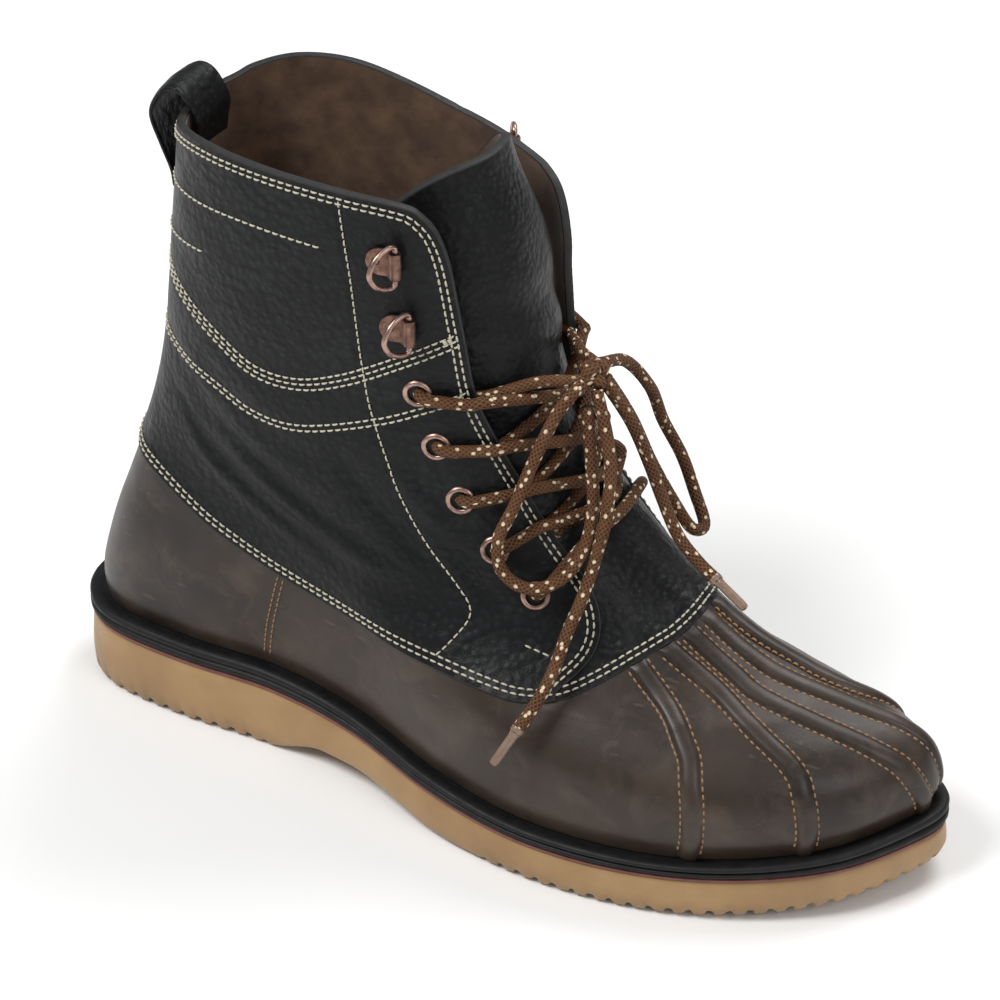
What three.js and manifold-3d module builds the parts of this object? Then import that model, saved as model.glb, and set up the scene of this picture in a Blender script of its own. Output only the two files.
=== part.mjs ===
// Duck boot, right foot. Lengths in millimetres. +X to the toe, +Y to the inner (medial) side, +Z up.
// The tables are in a working frame whose x starts at the back of the heel. The group moves
// everything so that the centre of the heel's tread is the origin.
import * as THREE from "three";
import { mergeVertices } from "three/addons/utils/BufferGeometryUtils.js";
import Module from "manifold-3d";

const wasm = await Module();
wasm.setup();

// Named sizes. Tables give their places as shares of the first three.
const LENGTH = 300.5;
const WIDTH = 100;
const HEIGHT = 218;
const HEEL_CENTRE = { x: 0.14 * LENGTH, y: 0.03 * WIDTH };
const WALL = 1.6;
const QUARTER = 1.2;
const BRIDGE = 0.5;
const BACKSTAY = { wide: 10, thick: 0.6, top: 118 };
const LAP = 0.8;
const GAP = 0.3;
const WELT_OVERHANG = 5;
const WELT_WIDE = 9.5;
const MIDSOLE_THICK = 1.2;
const GUM = { heel: 23, drop: 9.3, toe: 4.2 };
const FEATHER = { heel: 31, drop: 11, toe: 7 };
const ARCH = 6;
const TOE_SPRING = 7;
const INSOLE = { thick: 3.2, ease: 1 };
const NOTCH = { wide: 3.2, deep: 2.2, reach: 15, heelPitch: 10.5, toePitch: 12.2 };
const CHANNEL = { wide: 4, deep: 2.2, long: 52 };
const RIB = { wide: 5.6, high: 1.3 };
const EYELET = { bore: 2.7, barrel: 3.3, flange: 4.8, rise: 0.9 };
const EYELET_EASE = 0.4;
const TONGUE = { thick: 3, drop: 3.9, settle: 3.5, lean: 13, under: 5.5, corner: 17 };
const LOOP = { wide: 20, thick: 1.7, low: 187, high: 221, out: 9.5, inLow: 200 };
const RING_SIZE = { high: 14, out: 9.5, wire: 0.85 };
const CLIP = { wide: 9, leaf: 9.5, skin: 0.8, leafThick: 1, rivet: 1.3 };
const LACE_R = 2;
const AGLET = { long: 12, r: 1.5 };

// A table's rows, each column times its unit
const sized = (rows, units) => rows.map((row) => row.map((q, c) => q * units[c]));

// Sole outline seen from above, from the heel round the outer side to the toe and back: x, y
const OUTLINE = sized(
  [
    [-0.0033, 0.02],
    [0.006, -0.15],
    [0.0532, -0.275],
    [0.1531, -0.325],
    [0.2662, -0.335],
    [0.376, -0.39],
    [0.4925, -0.51],
    [0.619, -0.58],
    [0.7388, -0.56],
    [0.8419, -0.465],
    [0.9285, -0.3],
    [0.9834, -0.08],
    [1, 0.06],
    [0.98, 0.18],
    [0.9218, 0.29],
    [0.8353, 0.375],
    [0.7354, 0.42],
    [0.6256, 0.42],
    [0.4992, 0.395],
    [0.3661, 0.385],
    [0.2329, 0.39],
    [0.1165, 0.355],
    [0.0266, 0.21],
  ],
  [LENGTH, WIDTH],
);
const TOE_INDEX = 12;

// Closed loops of the upper from the feather line to above the collar.
// back x, back z, front x, front z, width at the back and front as shares of the outline, the same
// for the inner side's front, sag at mid-length, share of the shaft's oval, half width, centre y
const LOOPS = sized(
  [
    [0.0146, 0.1422, 0.9834, 0.1239, 1, 1, 1, 0, 0, 0.36, 0.03],
    [0.0163, 0.1927, 0.9867, 0.1651, 1.06, 1.02, 1, 0, 0, 0.36, 0.03],
    [0.0276, 0.2523, 0.9734, 0.211, 1.09, 0.97, 0.95, 0.0046, 0, 0.36, 0.03],
    [0.0399, 0.3073, 0.9384, 0.2408, 1.09, 0.9, 0.86, 0.0138, 0.05, 0.36, 0.03],
    [0.0542, 0.3624, 0.8802, 0.2661, 1.06, 0.82, 0.75, 0.0229, 0.15, 0.365, 0.04],
    [0.0676, 0.4174, 0.812, 0.2959, 1.04, 0.7, 0.62, 0.0275, 0.35, 0.37, 0.045],
    [0.0799, 0.4725, 0.7371, 0.3417, 1, 0.6, 0.55, 0.0229, 0.6, 0.38, 0.055],
    [0.0925, 0.5367, 0.6589, 0.4151, 0.97, 0.6, 0.56, 0.0138, 0.8, 0.385, 0.055],
    [0.1038, 0.6147, 0.5957, 0.5092, 0.9, 0.6, 0.6, 0, 1, 0.38, 0.05],
    [0.1145, 0.711, 0.5624, 0.6376, 0.9, 0.6, 0.6, 0, 1, 0.375, 0.045],
    [0.1248, 0.8257, 0.5524, 0.7936, 0.9, 0.6, 0.6, 0, 1, 0.38, 0.04],
    [0.1341, 0.9358, 0.5491, 0.9404, 0.9, 0.6, 0.6, 0, 1, 0.385, 0.04],
    [0.1398, 1.0367, 0.5491, 1.055, 0.9, 0.6, 0.6, 0, 1, 0.39, 0.04],
    [0.1431, 1.1376, 0.5458, 1.156, 0.9, 0.6, 0.6, 0, 1, 0.39, 0.04],
  ],
  [LENGTH, HEIGHT, LENGTH, HEIGHT, 1, 1, 1, HEIGHT, 1, WIDTH, WIDTH],
);
const OVAL_POWER = 2.4;

// Seam between the brown lower and the black leather, seen from the side: x, z
const SADDLE_SEAM = sized(
  [
    [-0.0666, 0.4495],
    [0.0333, 0.4358],
    [0.0799, 0.4257],
    [0.1198, 0.4128],
    [0.1564, 0.3913],
    [0.2097, 0.3569],
    [0.2729, 0.3257],
    [0.3461, 0.3083],
    [0.4226, 0.3009],
    [0.4892, 0.2927],
    [0.5491, 0.2835],
    [0.5857, 0.2789],
    [0.6156, 0.2807],
    [0.6389, 0.2881],
    [0.6589, 0.3],
    [0.6789, 0.3156],
    [0.6988, 0.3321],
    [0.7155, 0.344],
    [0.7288, 0.3624],
    [0.7521, 0.4128],
    [0.8652, 0.5963],
  ],
  [LENGTH, HEIGHT],
);
// Collar edge of the outer side, seen from the side: x, z
const COLLAR = sized(
  [
    [0.0666, 0.9794],
    [0.1398, 0.9817],
    [0.1631, 0.9945],
    [0.1997, 1.0046],
    [0.2529, 1.0073],
    [0.3128, 1.0055],
    [0.3727, 1.0023],
    [0.4193, 0.9991],
    [0.4493, 0.9908],
    [0.4659, 0.9679],
    [0.4752, 0.9358],
    [0.4812, 0.8991],
    [0.4865, 0.8486],
    [0.4958, 0.7798],
  ],
  [LENGTH, HEIGHT],
);
// Collar edge of the inner side, which slopes down to the front: x, z
const COLLAR_INNER = sized(
  [
    [0.0666, 0.9794],
    [0.1398, 0.9817],
    [0.1631, 0.9945],
    [0.1997, 1.0046],
    [0.2529, 1.0009],
    [0.3128, 0.9817],
    [0.3727, 0.9596],
    [0.4193, 0.945],
    [0.4559, 0.9321],
    [0.4859, 0.922],
    [0.5058, 0.906],
    [0.5191, 0.8761],
    [0.5275, 0.8349],
    [0.5341, 0.7706],
  ],
  [LENGTH, HEIGHT],
);
// Flap edges along the throat seen from the front: y, z
const THROAT_OUTER = sized(
  [
    [-0.29, 1.1009],
    [-0.285, 0.9817],
    [-0.273, 0.8991],
    [-0.256, 0.7959],
    [-0.239, 0.7018],
    [-0.219, 0.6445],
    [-0.201, 0.5963],
    [-0.185, 0.5482],
    [-0.177, 0.5],
    [-0.176, 0.4541],
  ],
  [WIDTH, HEIGHT],
);
const THROAT_INNER = sized(
  [
    [0.36, 1.1009],
    [0.33, 0.9817],
    [0.305, 0.9174],
    [0.289, 0.8761],
    [0.268, 0.8165],
    [0.256, 0.7569],
    [0.254, 0.6881],
    [0.256, 0.6193],
    [0.258, 0.5505],
    [0.257, 0.5],
    [0.256, 0.4541],
  ],
  [WIDTH, HEIGHT],
);
const THROAT_CENTRE = 0.04 * WIDTH;
// Flap edges below the throat seen from above: x, y
const FLAP_FRONT_OUTER = sized(
  [
    [0.579, -0.176],
    [0.6123, -0.178],
    [0.6306, -0.19],
    [0.6409, -0.216],
    [0.6443, -0.246],
    [0.6409, -0.293],
    [0.6323, -0.342],
    [0.6216, -0.396],
    [0.614, -0.47],
    [0.6123, -0.72],
  ],
  [LENGTH, WIDTH],
);
const FLAP_FRONT_INNER = sized(
  [
    [0.579, 0.256],
    [0.6123, 0.256],
    [0.6356, 0.258],
    [0.6556, 0.266],
    [0.6689, 0.284],
    [0.6742, 0.312],
    [0.6689, 0.344],
    [0.6522, 0.385],
    [0.6323, 0.44],
    [0.6256, 0.72],
  ],
  [LENGTH, WIDTH],
);
// Eyelets and lace rings: x, z of each on the outer side
const EYELETS = sized(
  [
    [0.4493, 0.7005],
    [0.4676, 0.6165],
    [0.4935, 0.5344],
    [0.5318, 0.4628],
    [0.5767, 0.4014],
  ],
  [LENGTH, HEIGHT],
);
const RINGS = sized(
  [
    [0.4326, 0.9115],
    [0.4446, 0.8069],
  ],
  [LENGTH, HEIGHT],
);
// Raised ribs of the vamp from the welt to the seam: share round the foot, rise up the upper
const RIBS = [
  [[0.353, 0.012], [0.3559, 0.166], [0.3666, 0.262], [0.3788, 0.346], [0.3852, 0.4], [0.392, 0.45]],
  [[0.4024, 0.012], [0.4031, 0.139], [0.4067, 0.201], [0.4117, 0.311], [0.4202, 0.386], [0.4235, 0.47]],
  [[0.476, 0.012], [0.4617, 0.124], [0.4489, 0.256], [0.4396, 0.355], [0.4438, 0.401], [0.4546, 0.485]],
  [[0.535, 0.012], [0.5182, 0.203], [0.4939, 0.289], [0.4768, 0.365], [0.4755, 0.405], [0.4903, 0.488]],
  [[0.6, 0.012], [0.575, 0.2], [0.541, 0.32], [0.5375, 0.37], [0.527, 0.42], [0.529, 0.482]],
];

// Plain maths
const clamp01 = (t) => Math.min(1, Math.max(0, t));
const smooth = (a, b, x) => {
  const t = clamp01((x - a) / (b - a));
  return t * t * (3 - 2 * t);
};
const lerp = (a, b, t) => a + (b - a) * t;
const add = (a, b, k = 1) => [a[0] + b[0] * k, a[1] + b[1] * k, a[2] + b[2] * k];
const sub = (a, b) => [a[0] - b[0], a[1] - b[1], a[2] - b[2]];
const cross = (a, b) => [
  a[1] * b[2] - a[2] * b[1],
  a[2] * b[0] - a[0] * b[2],
  a[0] * b[1] - a[1] * b[0],
];
const unit = (a) => {
  const l = Math.hypot(...a);
  return a.map((q) => q / l);
};
function spline(rows, t, closed) {
  const n = rows.length;
  let i = Math.floor(t);
  if (!closed) i = Math.min(Math.max(i, 0), n - 2);
  const f = t - i;
  const row = (k) => {
    if (closed) return rows[((i + k) % n + n) % n];
    if (i + k < 0) return rows[0].map((a, c) => 2 * a - rows[1][c]);
    if (i + k >= n) return rows[n - 1].map((a, c) => 2 * a - rows[n - 2][c]);
    return rows[i + k];
  };
  const [p, q, r, s] = [row(-1), row(0), row(1), row(2)];
  return q.map(
    (_, c) =>
      0.5 *
      (2 * q[c] +
        (r[c] - p[c]) * f +
        (2 * p[c] - 5 * q[c] + 4 * r[c] - s[c]) * f * f +
        (3 * q[c] - p[c] - 3 * r[c] + s[c]) * f * f * f),
  );
}
function smoothLine(rows, steps) {
  const out = [];
  for (let k = 0; k <= steps; k++) out.push(spline(rows, (k / steps) * (rows.length - 1), false));
  return out;
}

// Sole outline at u in 0..1 (heel 0, outer side, toe 0.5, inner side), inset in mm
function outline(u, inset) {
  const n = OUTLINE.length;
  const at = (q) => {
    const w = ((q % 1) + 1) % 1;
    const k = w < 0.5 ? (w / 0.5) * TOE_INDEX : TOE_INDEX + ((w - 0.5) / 0.5) * (n - TOE_INDEX);
    return spline(OUTLINE, k, true);
  };
  const [x, y] = at(u);
  const a = at(u - 2e-3);
  const b = at(u + 2e-3);
  const l = Math.hypot(b[0] - a[0], b[1] - a[1]);
  return [x - ((b[1] - a[1]) / l) * inset, y + ((b[0] - a[0]) / l) * inset];
}

// Heights along the sole
const waist = (x) => smooth(0.24 * LENGTH, 0.616 * LENGTH, x);
const towardToe = (x, from) => clamp01((x / LENGTH - from) / (1 - from));
const archAt = (x) =>
  smooth(0.26 * LENGTH, 0.333 * LENGTH, x) * (1 - smooth(0.373 * LENGTH, 0.532 * LENGTH, x));
const groundZ = (x) => ARCH * archAt(x) + TOE_SPRING * towardToe(x, 0.715) ** 1.8;
const gumTopZ = (x) => GUM.heel - GUM.drop * waist(x) + GUM.toe * towardToe(x, 0.666) ** 1.5;
const featherZ = (x) => FEATHER.heel - FEATHER.drop * waist(x) + FEATHER.toe * towardToe(x, 0.715) ** 1.8;

// Where the upper's foot starts and ends along x
const footX = Array.from({ length: 400 }, (_, i) => outline(i / 400, WELT_OVERHANG)[0]);
const ENDS = [Math.min(...footX), Math.max(...footX)];

// The upper's outer face: u round the foot, v from the feather line (0) to past the collar (1)
function upper(u, v) {
  const k = v * (LOOPS.length - 1);
  const [bx, bz, fx, fz, wb, wf, wfm, sag, oval, half, cy] = spline(LOOPS, k, false);
  const [ox, oy] = outline(u, WELT_OVERHANG);
  const [x0, x1] = ENDS;
  const s = clamp01((ox - x0) / (x1 - x0));
  const outer = u < 0.5;
  const wide = lerp(wb, outer ? wf : wfm, smooth(0.35, 0.9, s));
  const bulge = (1 - Math.abs(2 * s - 1) ** OVAL_POWER) ** (1 / OVAL_POWER) * half;
  const y = lerp(oy * wide, cy + (outer ? -bulge : bulge), oval);
  const x = lerp(bx, fx, s);
  const along = lerp(x0, x1, s);
  const level = lerp(LOOPS[0][1], LOOPS[0][3], s);
  const dip = (featherZ(along) - level) * clamp01(1 - k / 4) ** 0.8;
  const z = lerp(bz, fz, s) - sag * 5.2 * s ** 1.5 * (1 - s) + dip;
  return [x, y, z];
}
function normal(u, v) {
  const e = 4e-3;
  const du = sub(upper((u + e) % 1, v), upper((u - e + 1) % 1, v));
  const dv = sub(upper(u, Math.min(1, v + e)), upper(u, Math.max(0, v - e)));
  return unit(cross(du, dv));
}
const lift = (u, v, h) => add(upper(u, v), normal(u, v), h);

// The place on the upper where two of its coordinates have the asked values
function locate(axes, want, side, vRange = [0, 0.93]) {
  let best = [0, 0, 1e9];
  const miss = (u, v) => {
    const p = upper(u, v);
    return Math.hypot(p[axes[0]] - want[0], p[axes[1]] - want[1]);
  };
  const [u0, u1] = side === -1 ? [0.01, 0.5] : side === 1 ? [0.5, 0.99] : [0.3, 0.7];
  for (let i = 0; i <= 60; i++)
    for (let j = 0; j <= 60; j++) {
      const u = lerp(u0, u1, i / 60);
      const v = lerp(vRange[0], vRange[1], j / 60);
      const m = miss(u, v);
      if (m < best[2]) best = [u, v, m];
    }
  let step = 0.008;
  while (step > 1e-6) {
    let moved = false;
    for (const [a, b] of [[1, 0], [-1, 0], [0, 1], [0, -1]]) {
      const u = best[0] + a * step;
      const v = best[1] + b * step;
      const m = miss(u, v);
      if (m < best[2] - 1e-9) {
        best = [u, v, m];
        moved = true;
      }
    }
    if (!moved) step /= 2;
  }
  return best;
}

// Solids
function toSolid(points, faces) {
  const make = (list) =>
    new wasm.Manifold(
      new wasm.Mesh({
        numProp: 3,
        vertProperties: new Float32Array(points.flat()),
        triVerts: new Uint32Array(list.flat()),
      }),
    );
  const solid = make(faces);
  return solid.volume() < 0 ? make(faces.map(([a, b, c]) => [a, c, b])) : solid;
}
// Loops of an even count stacked into a wall; capped as a ladder across, or closed on the first loop
function stack(loops, closed) {
  const n = loops[0].length;
  const points = loops.flat();
  const faces = [];
  const rows = closed ? loops.length : loops.length - 1;
  for (let j = 0; j < rows; j++)
    for (let i = 0; i < n; i++) {
      const a = j * n + i;
      const b = j * n + ((i + 1) % n);
      const c = ((j + 1) % loops.length) * n + i;
      const d = ((j + 1) % loops.length) * n + ((i + 1) % n);
      faces.push([a, b, d], [a, d, c]);
    }
  if (!closed)
    for (const [base, flip] of [[0, true], [(loops.length - 1) * n, false]]) {
      const half = n / 2;
      const face = (a, b, c) =>
        faces.push(flip ? [base + a, base + c, base + b] : [base + a, base + b, base + c]);
      face(0, 1, n - 1);
      for (let i = 1; i < half - 1; i++) {
        face(i, i + 1, n - i);
        face(i + 1, n - i - 1, n - i);
      }
      face(half - 1, half, half + 1);
    }
  return toSolid(points, faces);
}
// Equal loops one after another, capped with the triangles of their flat profile
function slices(loops, profile) {
  const n = profile.length;
  const flat = THREE.ShapeUtils.triangulateShape(profile.map(([a, b]) => new THREE.Vector2(a, b)), []);
  const faces = [];
  for (let j = 0; j < loops.length - 1; j++)
    for (let i = 0; i < n; i++) {
      const a = j * n + i;
      const b = j * n + ((i + 1) % n);
      faces.push([a, b, b + n], [a, b + n, a + n]);
    }
  const turn = THREE.ShapeUtils.isClockWise(profile.map(([a, b]) => new THREE.Vector2(a, b)));
  const end = (loops.length - 1) * n;
  for (const [a, b, c] of flat) {
    faces.push([a, c, b]);
    faces.push([a + end, b + end, c + end]);
  }
  const walls = (loops.length - 1) * n * 2;
  const turnedOver = faces.map((f, i) => (i < walls ? [f[0], f[2], f[1]] : f));
  return toSolid(loops.flat(), turn ? turnedOver : faces);
}
// A flat outline pushed along an axis: 0 along x (outline y, z), 1 along y (x, z), 2 along z (x, y)
function prism(flat, axis, from, to) {
  const rows = flat.map(([a, b]) => new THREE.Vector2(a, b));
  const faces2 = THREE.ShapeUtils.triangulateShape(rows, []);
  const n = flat.length;
  const put = (p, h) => (axis === 0 ? [h, p[0], p[1]] : axis === 1 ? [p[0], h, p[1]] : [p[0], p[1], h]);
  const points = [...flat.map((p) => put(p, from)), ...flat.map((p) => put(p, to))];
  const faces = [];
  for (const [a, b, c] of faces2) faces.push([a, c, b], [a + n, b + n, c + n]);
  for (let i = 0; i < n; i++) {
    const j = (i + 1) % n;
    if (THREE.ShapeUtils.isClockWise(rows)) faces.push([i, i + n, j], [j, i + n, j + n]);
    else faces.push([i, j, j + n], [i, j + n, i + n]);
  }
  return toSolid(points, faces);
}
const box = (x0, y0, z0, x1, y1, z1) =>
  prism([[x0, y0], [x1, y0], [x1, y1], [x0, y1]], 2, z0, z1);
// A round or flat section swept along points; size is a radius or [half width, half height, up vector]
function sweep(path, size, sides, closed) {
  const n = path.length;
  const rings = [];
  let up = null;
  const tangents = path.map((p, i) => {
    const a = path[closed ? (i + n - 1) % n : Math.max(0, i - 1)];
    const b = path[closed ? (i + 1) % n : Math.min(n - 1, i + 1)];
    return unit(sub(b, a));
  });
  for (let i = 0; i < n; i++) {
    const t = tangents[i];
    const hint = size.ups ? size.ups[i] : up || (Math.abs(t[2]) < 0.9 ? [0, 0, 1] : [1, 0, 0]);
    const side = unit(cross(t, hint));
    up = cross(side, t);
    const rx = size.wide ?? size;
    const ry = size.high ?? size;
    const ring = [];
    for (let k = 0; k < sides; k++) {
      const a = (k / sides) * 2 * Math.PI;
      ring.push(add(add(path[i], side, Math.cos(a) * rx), up, Math.sin(a) * ry));
    }
    rings.push(ring);
  }
  const points = rings.flat();
  const faces = [];
  for (let j = 0; j < (closed ? n : n - 1); j++)
    for (let k = 0; k < sides; k++) {
      const a = j * sides + k;
      const b = j * sides + ((k + 1) % sides);
      const c = ((j + 1) % n) * sides + k;
      const d = ((j + 1) % n) * sides + ((k + 1) % sides);
      faces.push([a, b, d], [a, d, c]);
    }
  if (!closed)
    for (let k = 1; k < sides - 1; k++) {
      faces.push([0, k + 1, k]);
      const e = (n - 1) * sides;
      faces.push([e, e + k, e + k + 1]);
    }
  return toSolid(points, faces);
}
// A profile of radius and height turned round the axis that leaves a point along a direction
function turned(profile, at, axis, sides) {
  const a = unit(axis);
  const s = unit(cross(a, Math.abs(a[2]) < 0.9 ? [0, 0, 1] : [1, 0, 0]));
  const t = cross(a, s);
  const rings = profile.map(([r, h]) => {
    const ring = [];
    for (let k = 0; k < sides; k++) {
      const w = (k / sides) * 2 * Math.PI;
      ring.push(add(add(add(at, a, h), s, r * Math.cos(w)), t, r * Math.sin(w)));
    }
    return ring;
  });
  return stack(rings, true);
}
// Keeps the main body and fills the small pockets that a union leaves where two faces graze
function oneBody(solid, tolerance = 0.03) {
  const bodies = solid.decompose();
  let main = bodies.reduce((a, b) => (b.volume() > a.volume() ? b : a));
  for (const b of bodies) {
    if (b.volume() >= 0) continue;
    const m = b.getMesh();
    const points = [];
    const faces = [];
    for (let i = 0; i < m.numVert; i++) {
      points.push([...m.vertProperties.slice(i * m.numProp, i * m.numProp + 3)]);
    }
    for (let i = 0; i < m.triVerts.length; i += 3) faces.push([...m.triVerts.slice(i, i + 3)]);
    main = main.add(toSolid(points, faces));
  }
  // Rounded to the precision of a file, slivers come loose: they are left out
  const m = main.simplify(tolerance).getMesh();
  const g = new THREE.BufferGeometry();
  const at = new Float32Array(m.numVert * 3);
  for (let i = 0; i < m.numVert; i++)
    for (let c = 0; c < 3; c++) at[i * 3 + c] = m.vertProperties[i * m.numProp + c];
  g.setAttribute("position", new THREE.BufferAttribute(at, 3));
  g.setIndex(new THREE.BufferAttribute(new Uint32Array(m.triVerts), 1));
  const merged = mergeVertices(g, 2e-3);
  const again = new wasm.Manifold(
    new wasm.Mesh({
      numProp: 3,
      vertProperties: merged.attributes.position.array,
      triVerts: new Uint32Array(merged.index.array),
    }),
  );
  return again.decompose().reduce((a, b) => (b.volume() > a.volume() ? b : a));
}

// Meshes
const group = new THREE.Group();
group.name = "duck_boot";
function addMesh(name, solid, colour) {
  const m = solid.getMesh();
  const pos = new Float32Array(m.numVert * 3);
  for (let i = 0; i < m.numVert; i++)
    for (let c = 0; c < 3; c++) pos[i * 3 + c] = m.vertProperties[i * m.numProp + c];
  const g = new THREE.BufferGeometry();
  g.setAttribute("position", new THREE.BufferAttribute(pos, 3));
  g.setIndex(new THREE.BufferAttribute(new Uint32Array(m.triVerts), 1));
  g.translate(-HEEL_CENTRE.x, -HEEL_CENTRE.y, 0);
  g.computeVertexNormals();
  const mesh = new THREE.Mesh(g, new THREE.MeshStandardMaterial({ color: colour }));
  mesh.name = name;
  group.add(mesh);
}

// Sole parts. A side profile has rows of inset from the outline and height.
const HALF_ROUND = 26;
const ROUND = 2 * HALF_ROUND;
const ring = ([inset, height]) => {
  const out = [];
  for (let i = 0; i < ROUND; i++) {
    const [x, y] = outline(i / ROUND, inset);
    out.push([x, y, height(x)]);
  }
  return out;
};
const gumAt = (share) => (x) => lerp(groundZ(x), gumTopZ(x), share);
const above = (height, rise) => (x) => height(x) + rise;
const OUTSOLE_SIDE = [
  [WELT_OVERHANG, groundZ],
  [2.2, above(groundZ, 0.9)],
  [0.6, above(groundZ, 3.4)],
  [0.9, gumAt(0.7)],
  [1.4, gumTopZ],
];
let outsole = stack(OUTSOLE_SIDE.map(ring), false);
// Notches between the side lugs, and a wide channel under the forefoot
const notchRow = (from, to, pitch) => {
  const cuts = [];
  for (let x = from; x <= to; x += pitch) {
    let yOut = 0;
    let yIn = 0;
    for (let i = 0; i < 200; i++) {
      const [ox, oy] = outline(i / 200, 0);
      if (Math.abs(ox - x) < NOTCH.wide) {
        yOut = Math.min(yOut, oy);
        yIn = Math.max(yIn, oy);
      }
    }
    const top = groundZ(x) + NOTCH.deep;
    const past = 2 * NOTCH.wide;
    cuts.push(box(x, yOut - past, -GUM.heel, x + NOTCH.wide, yOut + NOTCH.reach, top));
    cuts.push(box(x, yIn - NOTCH.reach, -GUM.heel, x + NOTCH.wide, yIn + past, top));
  }
  return cuts;
};
for (const cut of notchRow(0.043 * LENGTH, 0.24 * LENGTH, NOTCH.heelPitch)) outsole = outsole.subtract(cut);
for (const cut of notchRow(0.586 * LENGTH, 0.872 * LENGTH, NOTCH.toePitch)) outsole = outsole.subtract(cut);
{
  const x = 0.785 * LENGTH;
  const y = CHANNEL.long / 2;
  const top = groundZ(x) + CHANNEL.deep - 0.25;
  outsole = outsole.subtract(box(x, -y, -GUM.heel, x + CHANNEL.wide, y, top));
}
addMesh("outsole", outsole, 0xa88252);

const MIDSOLE_INSET = 1.3;
const midsoleBase = above(gumTopZ, GAP);
const midsole = [[MIDSOLE_INSET, midsoleBase], [MIDSOLE_INSET, above(midsoleBase, MIDSOLE_THICK)]];
addMesh("midsole", stack(midsole.map(ring), false), 0x6a3430);

const weltBase = above(gumTopZ, 2 * GAP + MIDSOLE_THICK);
const weltTop = above(featherZ, -GAP);
const weltAt = (share) => (x) => lerp(weltBase(x), weltTop(x), share);
const WELT_SIDE = [
  [WELT_WIDE, weltBase],
  [1, weltBase],
  [0.2, above(weltBase, 1.4)],
  [1.1, weltAt(0.5)],
  [0.3, weltAt(0.72)],
  [1.2, above(weltTop, -0.2)],
  [3.6, weltTop],
  [WELT_WIDE, weltTop],
];
addMesh("welt", stack(WELT_SIDE.map(ring), true), 0x26272a);

const insoleEdge = WELT_OVERHANG + WALL + GAP + INSOLE.ease;
const INSOLE_SIDE = [
  [WELT_WIDE + GAP, weltBase],
  [WELT_WIDE + GAP, featherZ],
  [insoleEdge, featherZ],
  [insoleEdge, above(featherZ, INSOLE.thick)],
];
addMesh("insole", stack(INSOLE_SIDE.map(ring), false), 0x6b4a33);

// Upper. Rows are counted in the loops of its table.
const V_ROWS = [0, 0.7, 1.5, 2.3, 3, 3.7, 4.4, 5.1, 5.9, 6.7, 7.7, 8.9, 10.2, 11.9];
const layer = (low, high, rows = V_ROWS) => {
  const vs = rows.map((r) => r / (LOOPS.length - 1));
  const around = (v, h) => Array.from({ length: ROUND }, (_, i) => lift(i / ROUND, v, h));
  const down = vs.slice().reverse();
  return stack([...vs.map((v) => around(v, high)), ...down.map((v) => around(v, low))], true);
};
const base = layer(-WALL, 0);
const HIGH = 2 * HEIGHT;
const seam = smoothLine(SADDLE_SEAM, 30);
const aboveSeam = prism([...seam, [seam.at(-1)[0], HIGH], [seam[0][0], HIGH]], 1, -WIDTH, WIDTH);
const throatOuter = smoothLine(THROAT_OUTER, 12);
const throatInner = smoothLine(THROAT_INNER, 12);
const throatFrom = 0.393 * LENGTH;
const gapFront = prism([...throatOuter, ...throatInner.slice().reverse()], 0, throatFrom, HIGH);
const frontOuter = smoothLine(FLAP_FRONT_OUTER, 14);
const frontInner = smoothLine(FLAP_FRONT_INNER, 14).reverse();
const ahead = 1.1 * LENGTH;
const beyond = [[ahead, frontOuter.at(-1)[1]], [ahead, frontInner[0][1]]];
const throatFoot = THROAT_OUTER.at(-1)[1];
const gapTop = prism([...frontOuter, ...beyond, ...frontInner], 2, 0, throatFoot + 2 * LACE_R);
const gapRegion = gapFront.add(gapTop);
const quarterRows = V_ROWS.filter((r) => r >= 2.3);
const quarters = layer(-LAP, QUARTER, quarterRows).intersect(aboveSeam).subtract(gapRegion);
const bridgeRows = quarterRows.filter((r) => r < 9);
const bridge = layer(-LAP, BRIDGE, bridgeRows).intersect(aboveSeam).intersect(gapTop);
const stayRoom = box(
  -LENGTH,
  HEEL_CENTRE.y - 0.6 * BACKSTAY.wide,
  0,
  HEEL_CENTRE.x,
  HEEL_CENTRE.y + 0.4 * BACKSTAY.wide,
  BACKSTAY.top,
);
const stayRows = V_ROWS.filter((r) => r < 8);
const backstay = layer(-LAP, BACKSTAY.thick, stayRows).intersect(stayRoom);
let shell = base.add(quarters).add(bridge).add(backstay);
for (const rows of RIBS) {
  const line = smoothLine(rows, 8);
  const path = line.map(([u, v]) => upper(u, v));
  const ups = line.map(([u, v]) => normal(u, v));
  shell = shell.add(sweep(path, { wide: RIB.wide / 2, high: RIB.high, ups }, 8, false));
}
// The slot in the wall under the tongue, seen from above: x, y
const SLOT = sized(
  [
    [0.393, -0.34],
    [0.56, -0.34],
    [0.596, -0.25],
    [0.614, -0.12],
    [0.622, 0.03],
    [0.619, 0.17],
    [0.6, 0.28],
    [0.565, 0.4],
    [0.393, 0.4],
  ],
  [LENGTH, WIDTH],
);
shell = shell.subtract(gapFront.intersect(prism(SLOT, 2, 0, HIGH)));
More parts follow.
